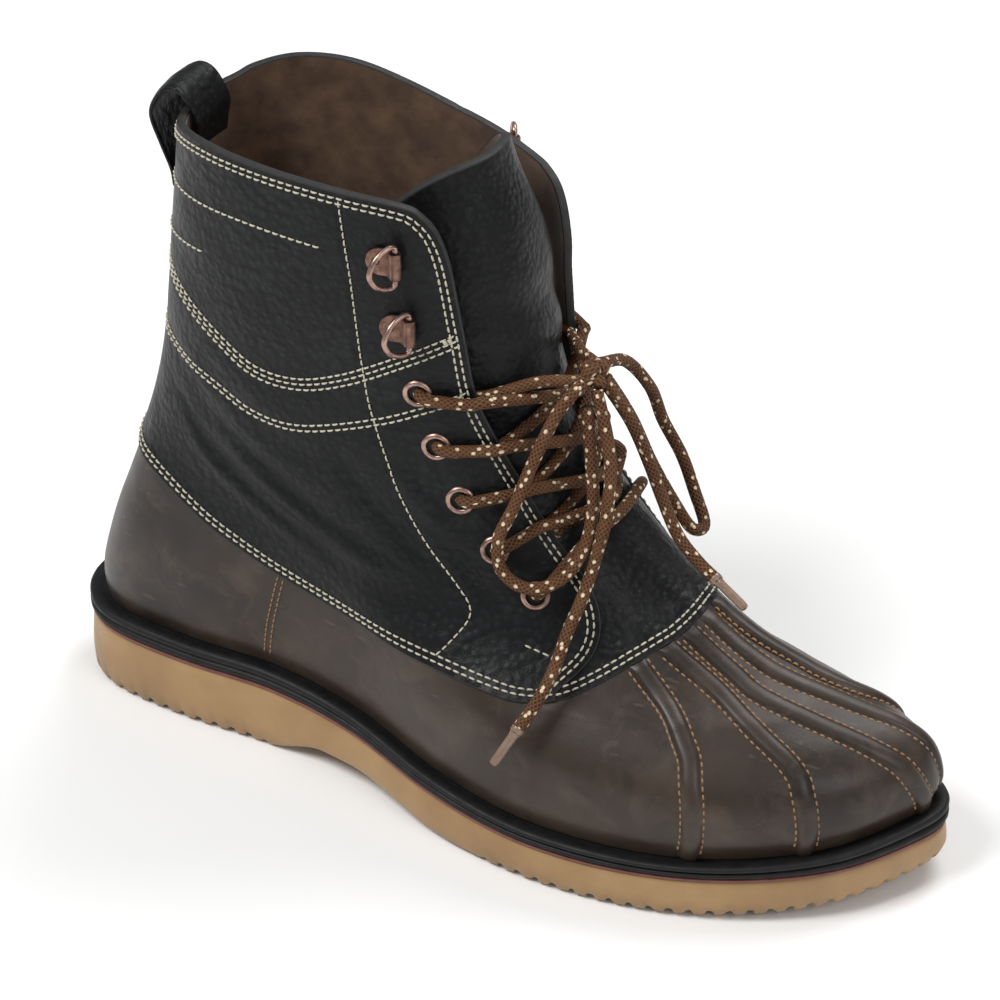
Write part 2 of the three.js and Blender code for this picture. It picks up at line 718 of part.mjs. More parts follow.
// The collar, one cut for each side
const collars = [
  [smoothLine(COLLAR, 18), -WIDTH, THROAT_CENTRE],
  [smoothLine(COLLAR_INNER, 18), THROAT_CENTRE, WIDTH],
];
for (const [line, from, to] of collars) {
  const [x, z] = line.at(-1);
  const over = prism([...line, [x, HIGH], [line[0][0], HIGH]], 1, from, to);
  shell = shell.subtract(over).subtract(box(x, from, z, LENGTH, to, HIGH));
}
const eyeletPlaces = [];
for (const side of [-1, 1])
  EYELETS.forEach(([x, z], i) => {
    const [u, v] = locate([0, 2], [x, z], side);
    eyeletPlaces.push({ side, row: i + 1, u, v, at: upper(u, v), n: normal(u, v) });
  });
const rod = (r, from, to, at, n, sides) => sweep([add(at, n, from), add(at, n, to)], r, sides, false);
const holeR = EYELET.barrel + EYELET_EASE;
for (const e of eyeletPlaces) shell = shell.subtract(rod(holeR, -4 * WALL, 4 * WALL, e.at, e.n, 10));
shell = oneBody(shell, 0.16);
addMesh("upper", shell, 0x3a322d);

// Eyelets: a rolled flange outside and a barrel through the leather
const flangeBase = QUARTER + GAP + EYELET_EASE;
for (const e of eyeletPlaces) {
  const low = -WALL - EYELET.rise;
  const profile = [
    [EYELET.barrel, low],
    [EYELET.barrel, flangeBase],
    [EYELET.flange, flangeBase],
    [EYELET.flange - GAP, flangeBase + EYELET.rise],
    [EYELET.bore + EYELET_EASE, flangeBase + EYELET.rise],
    [EYELET.bore, low],
  ];
  const name = `eyelet_${e.side < 0 ? "outer" : "inner"}_${e.row}`;
  addMesh(name, turned(profile, e.at, e.n, 10), 0x8d6a57);
}

// Tongue: starts under the bridge, goes under both flaps and rises past the collar, leaning back
const TONGUE_ROWS = [5.9, 6.4, 7, 7.8, 8.7, 9.6, 10.3, 10.8, 11.15, 11.45, 11.7];
const TONGUE_ACROSS = 9;
// The place round the foot where the surface comes to a wanted y
const roundAt = (y, v) => {
  let low = 0.25;
  let high = 0.75;
  for (let q = 0; q < 40; q++) {
    const mid = (low + high) / 2;
    if (upper(mid, v)[1] < y) low = mid;
    else high = mid;
  }
  return (low + high) / 2;
};
// The y of a side's flap edge at a height
const flapEdge = (side, z) => {
  const line = side < 0 ? throatOuter : throatInner;
  const row = line.findIndex((p) => p[1] <= z);
  if (row < 0) return line.at(-1)[0];
  if (row === 0) return line[0][0];
  const [a, b] = [line[row - 1], line[row]];
  return lerp(a[0], b[0], (a[1] - z) / (a[1] - b[1]));
};
const widestAt = 0.88 * HEIGHT;
const tongueLoops = TONGUE_ROWS.map((r) => {
  const v = r / (LOOPS.length - 1);
  const share = (r - TONGUE_ROWS[0]) / (TONGUE_ROWS.at(-1) - TONGUE_ROWS[0]);
  const inward = TONGUE.settle * smooth(0.7, 0.86, v);
  const depth = lerp(WALL + GAP + 0.1, TONGUE.drop, smooth(0.47, 0.58, v)) + inward;
  const z = Math.min(upper(0.5, v)[2], widestAt);
  const under = TONGUE.under * (1 - 0.45 * smooth(0.6, 0.9, share));
  const u0 = roundAt(flapEdge(-1, z) - under, v);
  const u1 = roundAt(flapEdge(1, z) + under, v);
  const face = (d) => {
    const out = [];
    for (let k = 0; k < TONGUE_ACROSS; k++) {
      const across = lerp(-1, 1, k / (TONGUE_ACROSS - 1));
      const [x, y, h] = lift(lerp(u0, u1, k / (TONGUE_ACROSS - 1)), v, -d);
      const lean = TONGUE.lean * smooth(0.835 * HEIGHT, 1.09 * HEIGHT, h) * (1 + 0.6 * across ** 2);
      const drop = TONGUE.corner * Math.abs(across) ** 3.2 * smooth(0.76, 1, share);
      out.push([x - lean, y, h - drop]);
    }
    return out;
  };
  return [...face(depth), ...face(depth + TONGUE.thick).reverse()];
});
const tongueSolid = (() => {
  const n = tongueLoops[0].length;
  const faces = [];
  for (let j = 0; j < tongueLoops.length - 1; j++)
    for (let i = 0; i < n; i++) {
      const a = j * n + i;
      const b = j * n + ((i + 1) % n);
      faces.push([a, b, b + n], [a, b + n, a + n]);
    }
  for (const [b, flip] of [[0, true], [(tongueLoops.length - 1) * n, false]])
    for (let i = 0; i < TONGUE_ACROSS - 1; i++) {
      const q = [b + i, b + i + 1, b + n - 2 - i, b + n - 1 - i];
      const two = [[q[0], q[1], q[2]], [q[0], q[2], q[3]]];
      two.forEach(([x, y, z]) => faces.push(flip ? [x, z, y] : [x, y, z]));
    }
  return toSolid(tongueLoops.flat(), faces);
})();
addMesh("tongue", tongueSolid, 0x2b2b2d);

// Pull loop: one strap from the back of the collar up and over to its inside
const backOut = (z) => {
  let best = [0, 1e9];
  for (let k = 0; k <= 600; k++) {
    const p = upper(0, lerp(0.5, 0.99, k / 600));
    const m = Math.abs(p[2] - z);
    if (m < best[1]) best = [p[0], m];
  }
  return best[0];
};
{
  const xo = backOut(LOOP.low) - QUARTER - GAP;
  const xi = backOut(LOOP.inLow) + WALL + GAP;
  const mid = [
    [xo - LOOP.thick / 2 - GAP, LOOP.low],
    [xo - LOOP.thick / 2 - 4 * GAP, lerp(LOOP.low, LOOP.high, 0.17)],
    [xo - 0.55 * LOOP.out, lerp(LOOP.low, LOOP.high, 0.4)],
    [xo - LOOP.out + 1, lerp(LOOP.low, LOOP.high, 0.68)],
    [xo - LOOP.out + 3.5, lerp(LOOP.low, LOOP.high, 0.88)],
    [xo - 0.15 * LOOP.out, LOOP.high],
    [xo + 0.4 * LOOP.out, LOOP.high - LOOP.thick],
    [xi + LOOP.thick / 2 + 8 * GAP, lerp(LOOP.inLow, LOOP.high, 0.55)],
    [xi + LOOP.thick / 2 + 6 * GAP, lerp(LOOP.inLow, LOOP.high, 0.28)],
    [xi + LOOP.thick / 2 + 3 * GAP, LOOP.inLow],
  ];
  const line = smoothLine(mid, 22);
  const left = [];
  const right = [];
  line.forEach((p, i) => {
    const a = line[Math.max(0, i - 1)];
    const b = line[Math.min(line.length - 1, i + 1)];
    const l = Math.hypot(b[0] - a[0], b[1] - a[1]);
    const n = [-(b[1] - a[1]) / l, (b[0] - a[0]) / l];
    left.push([p[0] + (n[0] * LOOP.thick) / 2, p[1] + (n[1] * LOOP.thick) / 2]);
    right.push([p[0] - (n[0] * LOOP.thick) / 2, p[1] - (n[1] * LOOP.thick) / 2]);
  });
  const profile = [...left, ...right.reverse()];
  const loops = [];
  for (let k = 0; k <= 4; k++) {
    const y = lerp(-LOOP.wide / 2, LOOP.wide / 2, k / 4);
    // The strap bends round the back of the shaft
    loops.push(profile.map(([x, z]) => [x + (y * y) / (1.85 * LOOPS.at(-1)[9]), y + LOOPS.at(-1)[10], z]));
  }
  addMesh("pull_loop", slices(loops, profile), 0x222224);
}

// Lace rings in their clips
for (const side of [-1, 1])
  RINGS.forEach(([x, z], i) => {
    const [u, v] = locate([0, 2], [x, z], side);
    const n = normal(u, v);
    const upDir = unit(sub([0, 0, 1], n.map((q) => q * n[2])));
    let toHeel = unit(cross(n, upDir));
    if (toHeel[0] > 0) toHeel = toHeel.map((q) => -q);
    const wire = RING_SIZE.wire;
    const rIn = wire + GAP;
    const rOut = rIn + CLIP.skin;
    const bar = add(upper(u, v), n, QUARTER + GAP + rOut + 0.25);
    const name = `${side < 0 ? "outer" : "inner"}_${i + 1}`;
    // Clip: a knuckle round the bar and a leaf that goes to the heel
    const flat = (a, h) => add(add(bar, toHeel, a), n, h);
    const put = ([a, h], along) => add(flat(a, h), upDir, along);
    const half = CLIP.wide / 2;
    const leafTop = -rOut + CLIP.leafThick;
    const knuckle = turned([[rIn, -half], [rIn, half], [rOut, half], [rOut, -half]], bar, upDir, 12);
    const corners = [
      [0.2, -rOut],
      [CLIP.leaf, -rOut - 0.15],
      [CLIP.leaf, leafTop - 0.15],
      [rIn + 0.25, leafTop],
    ];
    const pts = [...corners.map((p) => put(p, -half)), ...corners.map((p) => put(p, half))];
    const leafFaces = [
      [0, 2, 1], [0, 3, 2], [4, 5, 6], [4, 6, 7], [0, 1, 5], [0, 5, 4],
      [1, 2, 6], [1, 6, 5], [2, 3, 7], [2, 7, 6], [3, 0, 4], [3, 4, 7],
    ];
    const bore = rod(rIn, -half - 1, half + 1, bar, upDir, 12);
    const leaf = toSolid(pts, leafFaces).subtract(bore);
    const rivetAt = flat(0.68 * CLIP.leaf, leafTop);
    const rivet = rod(CLIP.rivet, -CLIP.leafThick / 2, CLIP.leafThick / 2, rivetAt, n, 8);
    addMesh(`ring_clip_${name}`, knuckle.add(leaf).add(rivet), 0x7d5f4f);
    // Ring: a straight bar and a round bow, standing off the leather
    const tilt = (side < 0 ? 52 : 48) * (Math.PI / 180);
    const bow = unit(add(toHeel.map((q) => q * Math.cos(tilt)), n, Math.sin(tilt)));
    // Half of the ring's outline, as shares of its half height and its reach
    const RING_HALF = [
      [0, 0],
      [0.77, 0],
      [0.96, 0.07],
      [1, 0.25],
      [0.83, 0.59],
      [0.51, 0.85],
      [0, 1],
    ];
    const rows = sized(RING_HALF, [RING_SIZE.high / 2, RING_SIZE.out]);
    const loopPts = [...rows, ...rows.slice(1, -1).reverse().map(([a, b]) => [-a, b])];
    const path = loopPts.map(([a, b]) => add(add(bar, upDir, a), bow, b));
    addMesh(`lace_ring_${name}`, sweep(path, wire, 6, true), 0x96705c);
  });

// Lace: bar at the bottom, four crossings, and the two strands that rise to the knot
const place = (side, row) => eyeletPlaces.find((e) => e.side === side && e.row === row);
const frontAt = (y, z, h) => {
  const [u, v] = locate([1, 2], [y, z], 0, [0.42, 0.93]);
  return lift(u, v, h);
};
// Height at which the strand of each row passes over the flap's edge
const EDGE_Z = [151, 134.5, 119.5, 108, 104.5];
const nearEdge = (side, row, h, inward) => {
  const z = EDGE_Z[row - 1];
  return frontAt(flapEdge(side, z) - side * inward, z, h);
};
const strands = [];
for (let row = 1; row <= 4; row++)
  for (const side of [-1, 1]) {
    const e = place(side, row);
    const centreZ = (EDGE_Z[row - 1] + EDGE_Z[row]) / 2;
    const overEdge = nearEdge(side, row, 4.4, -1.5);
    const top = lift(e.u, e.v, 5.2);
    strands.push(
      smoothLine(
        [
          nearEdge(-side, row + 1, row === 4 ? 2.8 : 1.4, 2.8),
          frontAt(THROAT_CENTRE, centreZ, side < 0 ? 0.8 : 0.2),
          nearEdge(side, row, 2.8, 2.6),
          overEdge,
          top,
          add(top, unit(sub(top, overEdge)), 1.2),
        ],
        9,
      ),
    );
  }
const low = [place(-1, 5), place(1, 5)];
strands.push(
  smoothLine(
    [
      lift(low[0].u, low[0].v, 5.2),
      frontAt(-13, 100.5, 4.4),
      frontAt(THROAT_CENTRE, 102.5, 3.6),
      frontAt(21, 100.5, 4.4),
      lift(low[1].u, low[1].v, 5.2),
    ],
    9,
  ),
);
const KNOT = { x: 174.5, y: 2.5, z: 154, wide: 6.4, high: 4.6, thick: 4.2 };
for (const side of [-1, 1]) {
  const start = nearEdge(side, 1, 1.4, 2.8);
  const end = [KNOT.x + 2.2, KNOT.y + side * (KNOT.wide + 0.4), KNOT.z - 1.4];
  strands.push(smoothLine([start, add([0, 1, 2].map((c) => lerp(start[c], end[c], 0.5)), [1, 0, 0.3]), end], 4));
}
// Plain room kept free round the leather, the tongue and the eyelets
const keepOut = [
  shell.translate([0.45, 0, 0.35]),
  shell.translate([0.3, 0.4, 0.1]),
  shell.translate([0.3, -0.4, 0.1]),
  shell.translate([-0.3, 0, -0.25]),
  tongueSolid.translate([0.5, 0, 0.3]),
];
const flangeRoom = EYELET.flange + EYELET_EASE;
const flangeTop = flangeBase + EYELET.rise + GAP;
for (const e of eyeletPlaces) keepOut.push(rod(flangeRoom, -2 * WALL, flangeTop, e.at, e.n, 10));
let crossings = null;
for (const path of strands) {
  const tube = sweep(path, LACE_R, 6, false);
  crossings = crossings ? crossings.add(tube) : tube;
}
for (const room of keepOut) crossings = crossings.subtract(room);
crossings = oneBody(crossings, 0.2);
addMesh("lace_crossings", crossings, 0x5d3a22);

// Bow: knot, two loops, two ends with their aglets. Points: x, y, z
const LOOP_OUTER = [
  [177.5, -3.6, 153],
  [173.5, -13, 146],
  [170, -22, 133],
  [167, -29, 120],
  [164, -34, 109.5],
  [166, -35.5, 99.5],
  [174, -34, 94.5],
  [182, -28.5, 96.5],
  [186, -21.5, 103],
  [186, -13.5, 114],
  [182.5, -8, 131],
  [179.5, -4.8, 145.5],
];
const LOOP_INNER = [
  [178, 8.2, 153.5],
  [180, 22, 147],
  [184, 32, 133],
  [186, 38, 118],
  [191.5, 41, 104.5],
  [197, 39, 94],
  [203.5, 33, 86.5],
  [202, 26.5, 88.5],
  [196, 25, 98],
  [189, 23, 112],
  [184, 18, 130],
  [180, 8.2, 148.5],
];
const END_OUTER = [
  [181, -1, 149.8],
  [189, -8, 132],
  [191.5, -15, 116],
  [190, -20, 101],
  [189.5, -28.5, 91],
  [188, -34.5, 83],
  [187.5, -44, 73.5],
  [186, -51.5, 67],
  [182, -58.5, 58.5],
];
const END_INNER = [
  [181, 4, 150.5],
  [189, 7, 136],
  [195, 8, 122],
  [199, 8, 112],
  [206, 6, 100],
  [214, 4, 93.5],
  [222, 2, 89.5],
];
const CORD_SIDES = 6;
const ellipsoid = (c, r, rows, sides) => {
  const points = [add(c, [0, 0, -r[2]])];
  for (let j = 1; j < rows; j++)
    for (let k = 0; k < sides; k++) {
      const a = (j / rows) * Math.PI;
      const b = (k / sides) * 2 * Math.PI;
      const out = [Math.sin(a) * Math.cos(b), Math.sin(a) * Math.sin(b), -Math.cos(a)];
      points.push(add(c, out.map((q, k) => q * r[k])));
    }
  points.push(add(c, [0, 0, r[2]]));
  const faces = [];
  const last = points.length - 1;
  for (let k = 0; k < sides; k++) {
    const m = (k + 1) % sides;
    faces.push([0, 1 + m, 1 + k]);
    for (let j = 0; j < rows - 2; j++) {
      const a = 1 + j * sides;
      faces.push([a + k, a + m, a + sides + m], [a + k, a + sides + m, a + sides + k]);
    }
    faces.push([last, last - sides + k, last - sides + m]);
  }
  return toSolid(points, faces);
};
const knotMiddle = [KNOT.x + 3.6, KNOT.y, KNOT.z - 1.5];
const knotSolid = ellipsoid(knotMiddle, [KNOT.thick, KNOT.wide, KNOT.high], 7, 10);
const clearOf = (solid, others) => {
  let out = solid;
  for (const o of others)
    for (const d of [[0.3, 0, 0], [-0.3, 0, 0], [0, 0.3, 0], [0, -0.3, 0], [0, 0, 0.3], [0, 0, -0.3]])
      out = out.subtract(o.translate(d));
  return oneBody(out);
};
const knot = clearOf(knotSolid, [crossings]);
addMesh("lace_knot", knot, 0x5d3a22);
const cord = (points, steps) => sweep(smoothLine(points, steps), LACE_R, CORD_SIDES, false);
let loopOuter = cord(LOOP_OUTER, 18);
let loopInner = cord(LOOP_INNER, 18);
let endOuter = cord(END_OUTER, 14);
let endInner = cord(END_INNER, 8);
loopOuter = clearOf(loopOuter, [knotSolid, crossings]);
loopInner = clearOf(loopInner, [knotSolid, crossings]);
endOuter = clearOf(endOuter, [knotSolid, crossings, loopOuter]);
endInner = clearOf(endInner, [knotSolid, crossings, loopInner, endOuter]);
const offLeather = (solid) => oneBody(keepOut.reduce((s, room) => s.subtract(room), solid));
loopOuter = offLeather(loopOuter);
loopInner = offLeather(loopInner);
endOuter = offLeather(endOuter);
endInner = offLeather(endInner);
addMesh("lace_loop_outer", loopOuter, 0x5d3a22);
addMesh("lace_loop_inner", loopInner, 0x5d3a22);
addMesh("lace_end_outer", endOuter, 0x5d3a22);
addMesh("lace_end_inner", endInner, 0x5d3a22);
for (const [name, rows] of [["outer", END_OUTER], ["inner", END_INNER]]) {
  const a = rows[rows.length - 2];
  const b = rows[rows.length - 1];
  const d = unit(sub(b, a));
  const from = add(b, d, GAP);
  const tube = sweep([from, add(from, d, AGLET.long)], AGLET.r, 8, false);
  addMesh(`aglet_${name}`, oneBody(keepOut.reduce((s, room) => s.subtract(room), tube)), 0xa08a78);
}
export default group;
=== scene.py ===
# Duck boot, right foot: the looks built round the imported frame.
# Shapes are worked out in millimetres in a working frame whose x starts at the back of the heel,
# +X to the toe, +Y to the inner side, +Z up. Pieces are stored in metres in the frame's own axes.
import math

import bpy
import numpy as np
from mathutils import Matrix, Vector


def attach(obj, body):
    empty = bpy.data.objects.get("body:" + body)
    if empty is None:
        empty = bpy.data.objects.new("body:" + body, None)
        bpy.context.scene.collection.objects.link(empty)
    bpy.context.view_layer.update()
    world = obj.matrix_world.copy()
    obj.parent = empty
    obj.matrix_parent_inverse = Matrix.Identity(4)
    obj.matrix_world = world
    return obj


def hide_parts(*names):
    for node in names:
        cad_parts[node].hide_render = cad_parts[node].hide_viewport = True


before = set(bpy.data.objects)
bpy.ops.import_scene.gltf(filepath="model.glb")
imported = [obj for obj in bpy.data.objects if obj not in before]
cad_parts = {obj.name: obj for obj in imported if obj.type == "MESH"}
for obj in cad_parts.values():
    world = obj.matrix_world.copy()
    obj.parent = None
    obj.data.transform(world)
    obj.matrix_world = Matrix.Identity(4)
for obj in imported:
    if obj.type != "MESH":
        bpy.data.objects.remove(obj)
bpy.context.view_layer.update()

# Named sizes of the boot, in millimetres
LENGTH = 300.5
HEIGHT = 218.0
HEEL_CENTRE = (0.14 * LENGTH, 3.0)
WALL = 1.6
QUARTER = 1.2
BRIDGE = 0.5
GAP = 0.3
WELT_OVERHANG = 5.0
THROAT_CENTRE = 4.0
OVAL_POWER = 2.4
LACE_R = 2.0
TOE_INDEX = 12
MM = 0.001

# Sole outline seen from above, heel round the outer side to the toe and back: x, y
OUTLINE = [
    (-1, 2), (1.8, -15), (16, -27.5), (46, -32.5), (80, -33.5), (113, -39), (148, -51), (186, -58),
    (222, -56), (253, -46.5), (279, -30), (295.5, -8), (300.5, 6), (294.5, 18), (277, 29),
    (251, 37.5), (221, 42), (188, 42), (150, 39.5), (110, 38.5), (70, 39), (35, 35.5), (8, 21),
]
# Closed loops of the upper: back x, back z, front x, front z, width at the back and front as shares
# of the outline, the same for the inner side's front, sag, share of the oval, half width, centre y
LOOPS = [
    (4.4, 31, 295.5, 27, 1.0, 1.0, 1.0, 0, 0, 36, 3),
    (4.9, 42, 296.5, 36, 1.06, 1.02, 1.0, 0, 0, 36, 3),
    (8.3, 55, 292.5, 46, 1.09, 0.97, 0.95, 1, 0, 36, 3),
    (12, 67, 282, 52.5, 1.09, 0.9, 0.86, 3, 0.05, 36, 3),
    (16.3, 79, 264.5, 58, 1.06, 0.82, 0.75, 5, 0.15, 36.5, 4),
    (20.3, 91, 244, 64.5, 1.04, 0.7, 0.62, 6, 0.35, 37, 4.5),
    (24, 103, 221.5, 74.5, 1.0, 0.6, 0.55, 5, 0.6, 38, 5.5),
    (27.8, 117, 198, 90.5, 0.97, 0.6, 0.56, 3, 0.8, 38.5, 5.5),
    (31.2, 134, 179, 111, 0.9, 0.6, 0.6, 0, 1, 38, 5),
    (34.4, 155, 169, 139, 0.9, 0.6, 0.6, 0, 1, 37.5, 4.5),
    (37.5, 180, 166, 173, 0.9, 0.6, 0.6, 0, 1, 38, 4),
    (40.3, 204, 165, 205, 0.9, 0.6, 0.6, 0, 1, 38.5, 4),
    (42, 226, 165, 230, 0.9, 0.6, 0.6, 0, 1, 39, 4),
    (43, 248, 164, 252, 0.9, 0.6, 0.6, 0, 1, 39, 4),
]
# Seam between the brown lower and the black leather, seen from the side: x, z
SADDLE_SEAM = [
    (-20, 98), (10, 95), (24, 92.8), (36, 90), (47, 85.3), (63, 77.8), (82, 71), (104, 67.2),
    (127, 65.6), (147, 63.8), (165, 61.8), (176, 60.8), (185, 61.2), (192, 62.8), (198, 65.4),
    (204, 68.8), (210, 72.4), (215, 75), (219, 79), (226, 90), (260, 130),
]
# Collar edges seen from the side, each with its rounded front corner from a row on: x, z
COLLAR = {
    "outer": [
        (20, 213.5), (42, 214), (49, 216.8), (60, 219), (76, 219.6), (94, 219.2), (112, 218.5),
        (126, 217.8), (135, 216), (140, 211), (142.8, 204), (144.6, 196), (146.2, 185), (149, 170),
    ],
    "inner": [
        (20, 213.5), (42, 214), (49, 216.8), (60, 219), (76, 218.2), (94, 214), (112, 209.2),
        (126, 206), (137, 203.2), (146, 201), (152, 197.5), (156, 191), (158.5, 182), (160.5, 168),
    ],
}
CORNER_FROM = {"outer": 8, "inner": 9}
SIDES = ("outer", "inner")
TURN = {"outer": -1, "inner": 1}
HEEL_END = {"outer": 0.0, "inner": 1.0}
# Flap edges beside the throat seen from the front (y, z); flap edges below it from above (x, y)
THROAT = {
    "outer": [
        (-29, 240), (-28.5, 214), (-27.3, 196), (-25.6, 173.5), (-23.9, 153), (-21.9, 140.5),
        (-20.1, 130), (-18.5, 119.5), (-17.7, 109), (-17.6, 99),
    ],
    "inner": [
        (36, 240), (33, 214), (30.5, 200), (28.9, 191), (26.8, 178), (25.6, 165), (25.4, 150),
        (25.6, 135), (25.8, 120), (25.7, 109), (25.6, 99),
    ],
}
FLAP_FRONT = {
    "outer": [
        (174, -17.6), (184, -17.8), (189.5, -19), (192.6, -21.6), (193.6, -24.6), (192.6, -29.3),
        (190, -34.2), (186.8, -39.6), (184.8, -46),
    ],
    "inner": [
        (174, 25.6), (184, 25.6), (191, 25.8), (197, 26.6), (201, 28.4), (202.6, 31.2), (201, 34.4),
        (196, 38.5), (191, 43),
    ],
}
EYELETS = [(135, 152.7), (140.5, 134.4), (148.3, 116.5), (159.8, 100.9), (173.3, 87.5)]
RINGS = [(130, 198.7), (133.6, 175.9)]
# Raised ribs of the vamp from the welt to the seam, as places on the upper
RIBS = [
    [(0.353, 0.012), (0.3559, 0.166), (0.3666, 0.262), (0.3788, 0.346), (0.3852, 0.4), (0.392, 0.45)],
    [(0.4024, 0.012), (0.4031, 0.139), (0.4067, 0.201), (0.4117, 0.311), (0.4202, 0.386), (0.4235, 0.47)],
    [(0.476, 0.012), (0.4617, 0.124), (0.4489, 0.256), (0.4396, 0.355), (0.4438, 0.401), (0.4546, 0.485)],
    [(0.535, 0.012), (0.5182, 0.203), (0.4939, 0.289), (0.4768, 0.365), (0.4755, 0.405), (0.4903, 0.488)],
    [(0.6, 0.012), (0.575, 0.2), (0.541, 0.32), (0.5375, 0.37), (0.527, 0.42), (0.529, 0.482)],
]
RIB_WIDE = 5.6
RIB_HIGH = 1.3


# Plain maths
def clamp01(t):
    return np.clip(t, 0.0, 1.0)


def smooth(a, b, x):
    """0 before a, 1 after b, with a soft step between them."""
    t = clamp01((np.asarray(x, float) - a) / (b - a))
    return t * t * (3 - 2 * t)


def lerp(a, b, t):
    return a + (b - a) * t


def unit(a):
    return a / np.maximum(np.linalg.norm(a, axis=-1, keepdims=True), 1e-12)


def spline(rows, t, closed=False):
    """Points of a smooth line through the rows at t, counted in rows."""
    rows = np.asarray(rows, float)
    n = len(rows)
    t = np.asarray(t, float)
    i = np.floor(t).astype(int)
    if not closed:
        i = np.clip(i, 0, n - 2)
    f = (t - i)[..., None]
    if closed:
        p, q, r, s = (rows[(i + k) % n] for k in (-1, 0, 1, 2))
    else:
        wide = np.vstack([2 * rows[0] - rows[1], rows, 2 * rows[-1] - rows[-2]])
        p, q, r, s = (wide[i + 1 + k] for k in (-1, 0, 1, 2))
    return 0.5 * (
        2 * q + (r - p) * f + (2 * p - 5 * q + 4 * r - s) * f * f + (3 * q - p - 3 * r + s) * f**3
    )


def even_line(rows, steps):
    """A smooth line through the rows with its points equally far apart."""
    fine = spline(rows, np.linspace(0, len(rows) - 1, 30 * len(rows)))
    return resample(fine, steps)


def run(line):
    """The length along a line up to each of its points."""
    return np.r_[0, np.cumsum(np.linalg.norm(np.diff(line, axis=0), axis=1))]


def read_off(want, d, line):
    """The points of a line at the wanted lengths along it."""
    return np.stack([np.interp(want, d, column) for column in line.T], -1)


def resample(line, steps, by=None):
    """Points equally far apart along a line, or along another line that belongs to it."""
    d = run(line if by is None else by)
    return read_off(np.linspace(0, d[-1], steps + 1), d, line)


# The boot's own functions, as in its solids
def outline(u, inset):
    n = len(OUTLINE)

    def at(q):
        w = np.mod(q, 1)
        k = np.where(w < 0.5, w / 0.5 * TOE_INDEX, TOE_INDEX + (w - 0.5) / 0.5 * (n - TOE_INDEX))
        return spline(OUTLINE, k, True)

    p, a, b = at(u), at(u - 2e-3), at(u + 2e-3)
    d = unit(b - a)
    inset = np.asarray(inset, float)
    return np.stack([p[..., 0] - d[..., 1] * inset, p[..., 1] + d[..., 0] * inset], -1)


def toward_toe(x, start):
    return clamp01((x / LENGTH - start) / (1 - start))


def waist(x):
    return smooth(0.24 * LENGTH, 0.616 * LENGTH, x)


def ground_z(x):
    up = smooth(0.26 * LENGTH, 0.333 * LENGTH, x)
    down = smooth(0.373 * LENGTH, 0.532 * LENGTH, x)
    return 6 * up * (1 - down) + 7 * toward_toe(x, 0.715) ** 1.8


def gum_top_z(x):
    return 23 - 9.3 * waist(x) + 4.2 * toward_toe(x, 0.666) ** 1.5


def feather_z(x):
    return 31 - 11 * waist(x) + 7 * toward_toe(x, 0.715) ** 1.8


AROUND = 400
FOOT_X = outline(np.arange(AROUND) / AROUND, WELT_OVERHANG)[:, 0]
ENDS = (FOOT_X.min(), FOOT_X.max())
HEEL_U = int(FOOT_X.argmin()) / AROUND
LAST_LOOP = len(LOOPS) - 1


def upper(u, v):
    """Outer face of the upper: u round the foot (heel 0, outer side, toe 0.5), v up from the welt."""
    u, v = np.broadcast_arrays(np.asarray(u, float), np.asarray(v, float))
    k = v * LAST_LOOP
    bx, bz, fx, fz, wb, wf, wfi, sag, oval, half, cy = np.moveaxis(spline(LOOPS, k), -1, 0)
    o = outline(u, WELT_OVERHANG)
    x0, x1 = ENDS
    s = clamp01((o[..., 0] - x0) / (x1 - x0))
    outer = np.mod(u - HEEL_U, 1) < 0.5 - HEEL_U
    wide = lerp(wb, np.where(outer, wf, wfi), smooth(0.35, 0.9, s))
    bulge = (1 - np.abs(2 * s - 1) ** OVAL_POWER) ** (1 / OVAL_POWER) * half
    y = lerp(o[..., 1] * wide, cy + np.where(outer, -bulge, bulge), oval)
    x = lerp(bx, fx, s)
    level = lerp(LOOPS[0][1], LOOPS[0][3], s)
    dip = (feather_z(lerp(x0, x1, s)) - level) * clamp01(1 - k / 4) ** 0.8
    z = lerp(bz, fz, s) - sag * 5.2 * s**1.5 * (1 - s) + dip
    return np.stack([x, y, z], -1)


def tangents(u, v, e=4e-3):
    du = (upper(u + e, v) - upper(u - e, v)) / (2 * e)
    v = np.asarray(v, float)
    hi, lo = np.minimum(1, v + e), np.maximum(0, v - e)
    dv = (upper(u, hi) - upper(u, lo)) / (hi - lo)[..., None]
    return du, dv


def normal(u, v):
    du, dv = tangents(u, v)
    return unit(np.cross(du, dv))


def lift(u, v, h):
    return upper(u, v) + normal(u, v) * np.asarray(h, float)[..., None]


# Places on the upper. A place is a pair (u, v); a line of them is an array of pairs.
ZONES = {
    "outer": (0.01, 0.5), "inner": (0.5, 0.99), "outer_front": (0.27, 0.5),
    "inner_front": (0.5, 0.74), "front": (0.3, 0.7),
}
AXES = {"xz": [0, 2], "yz": [1, 2], "xy": [0, 1]}
TABLES = {}


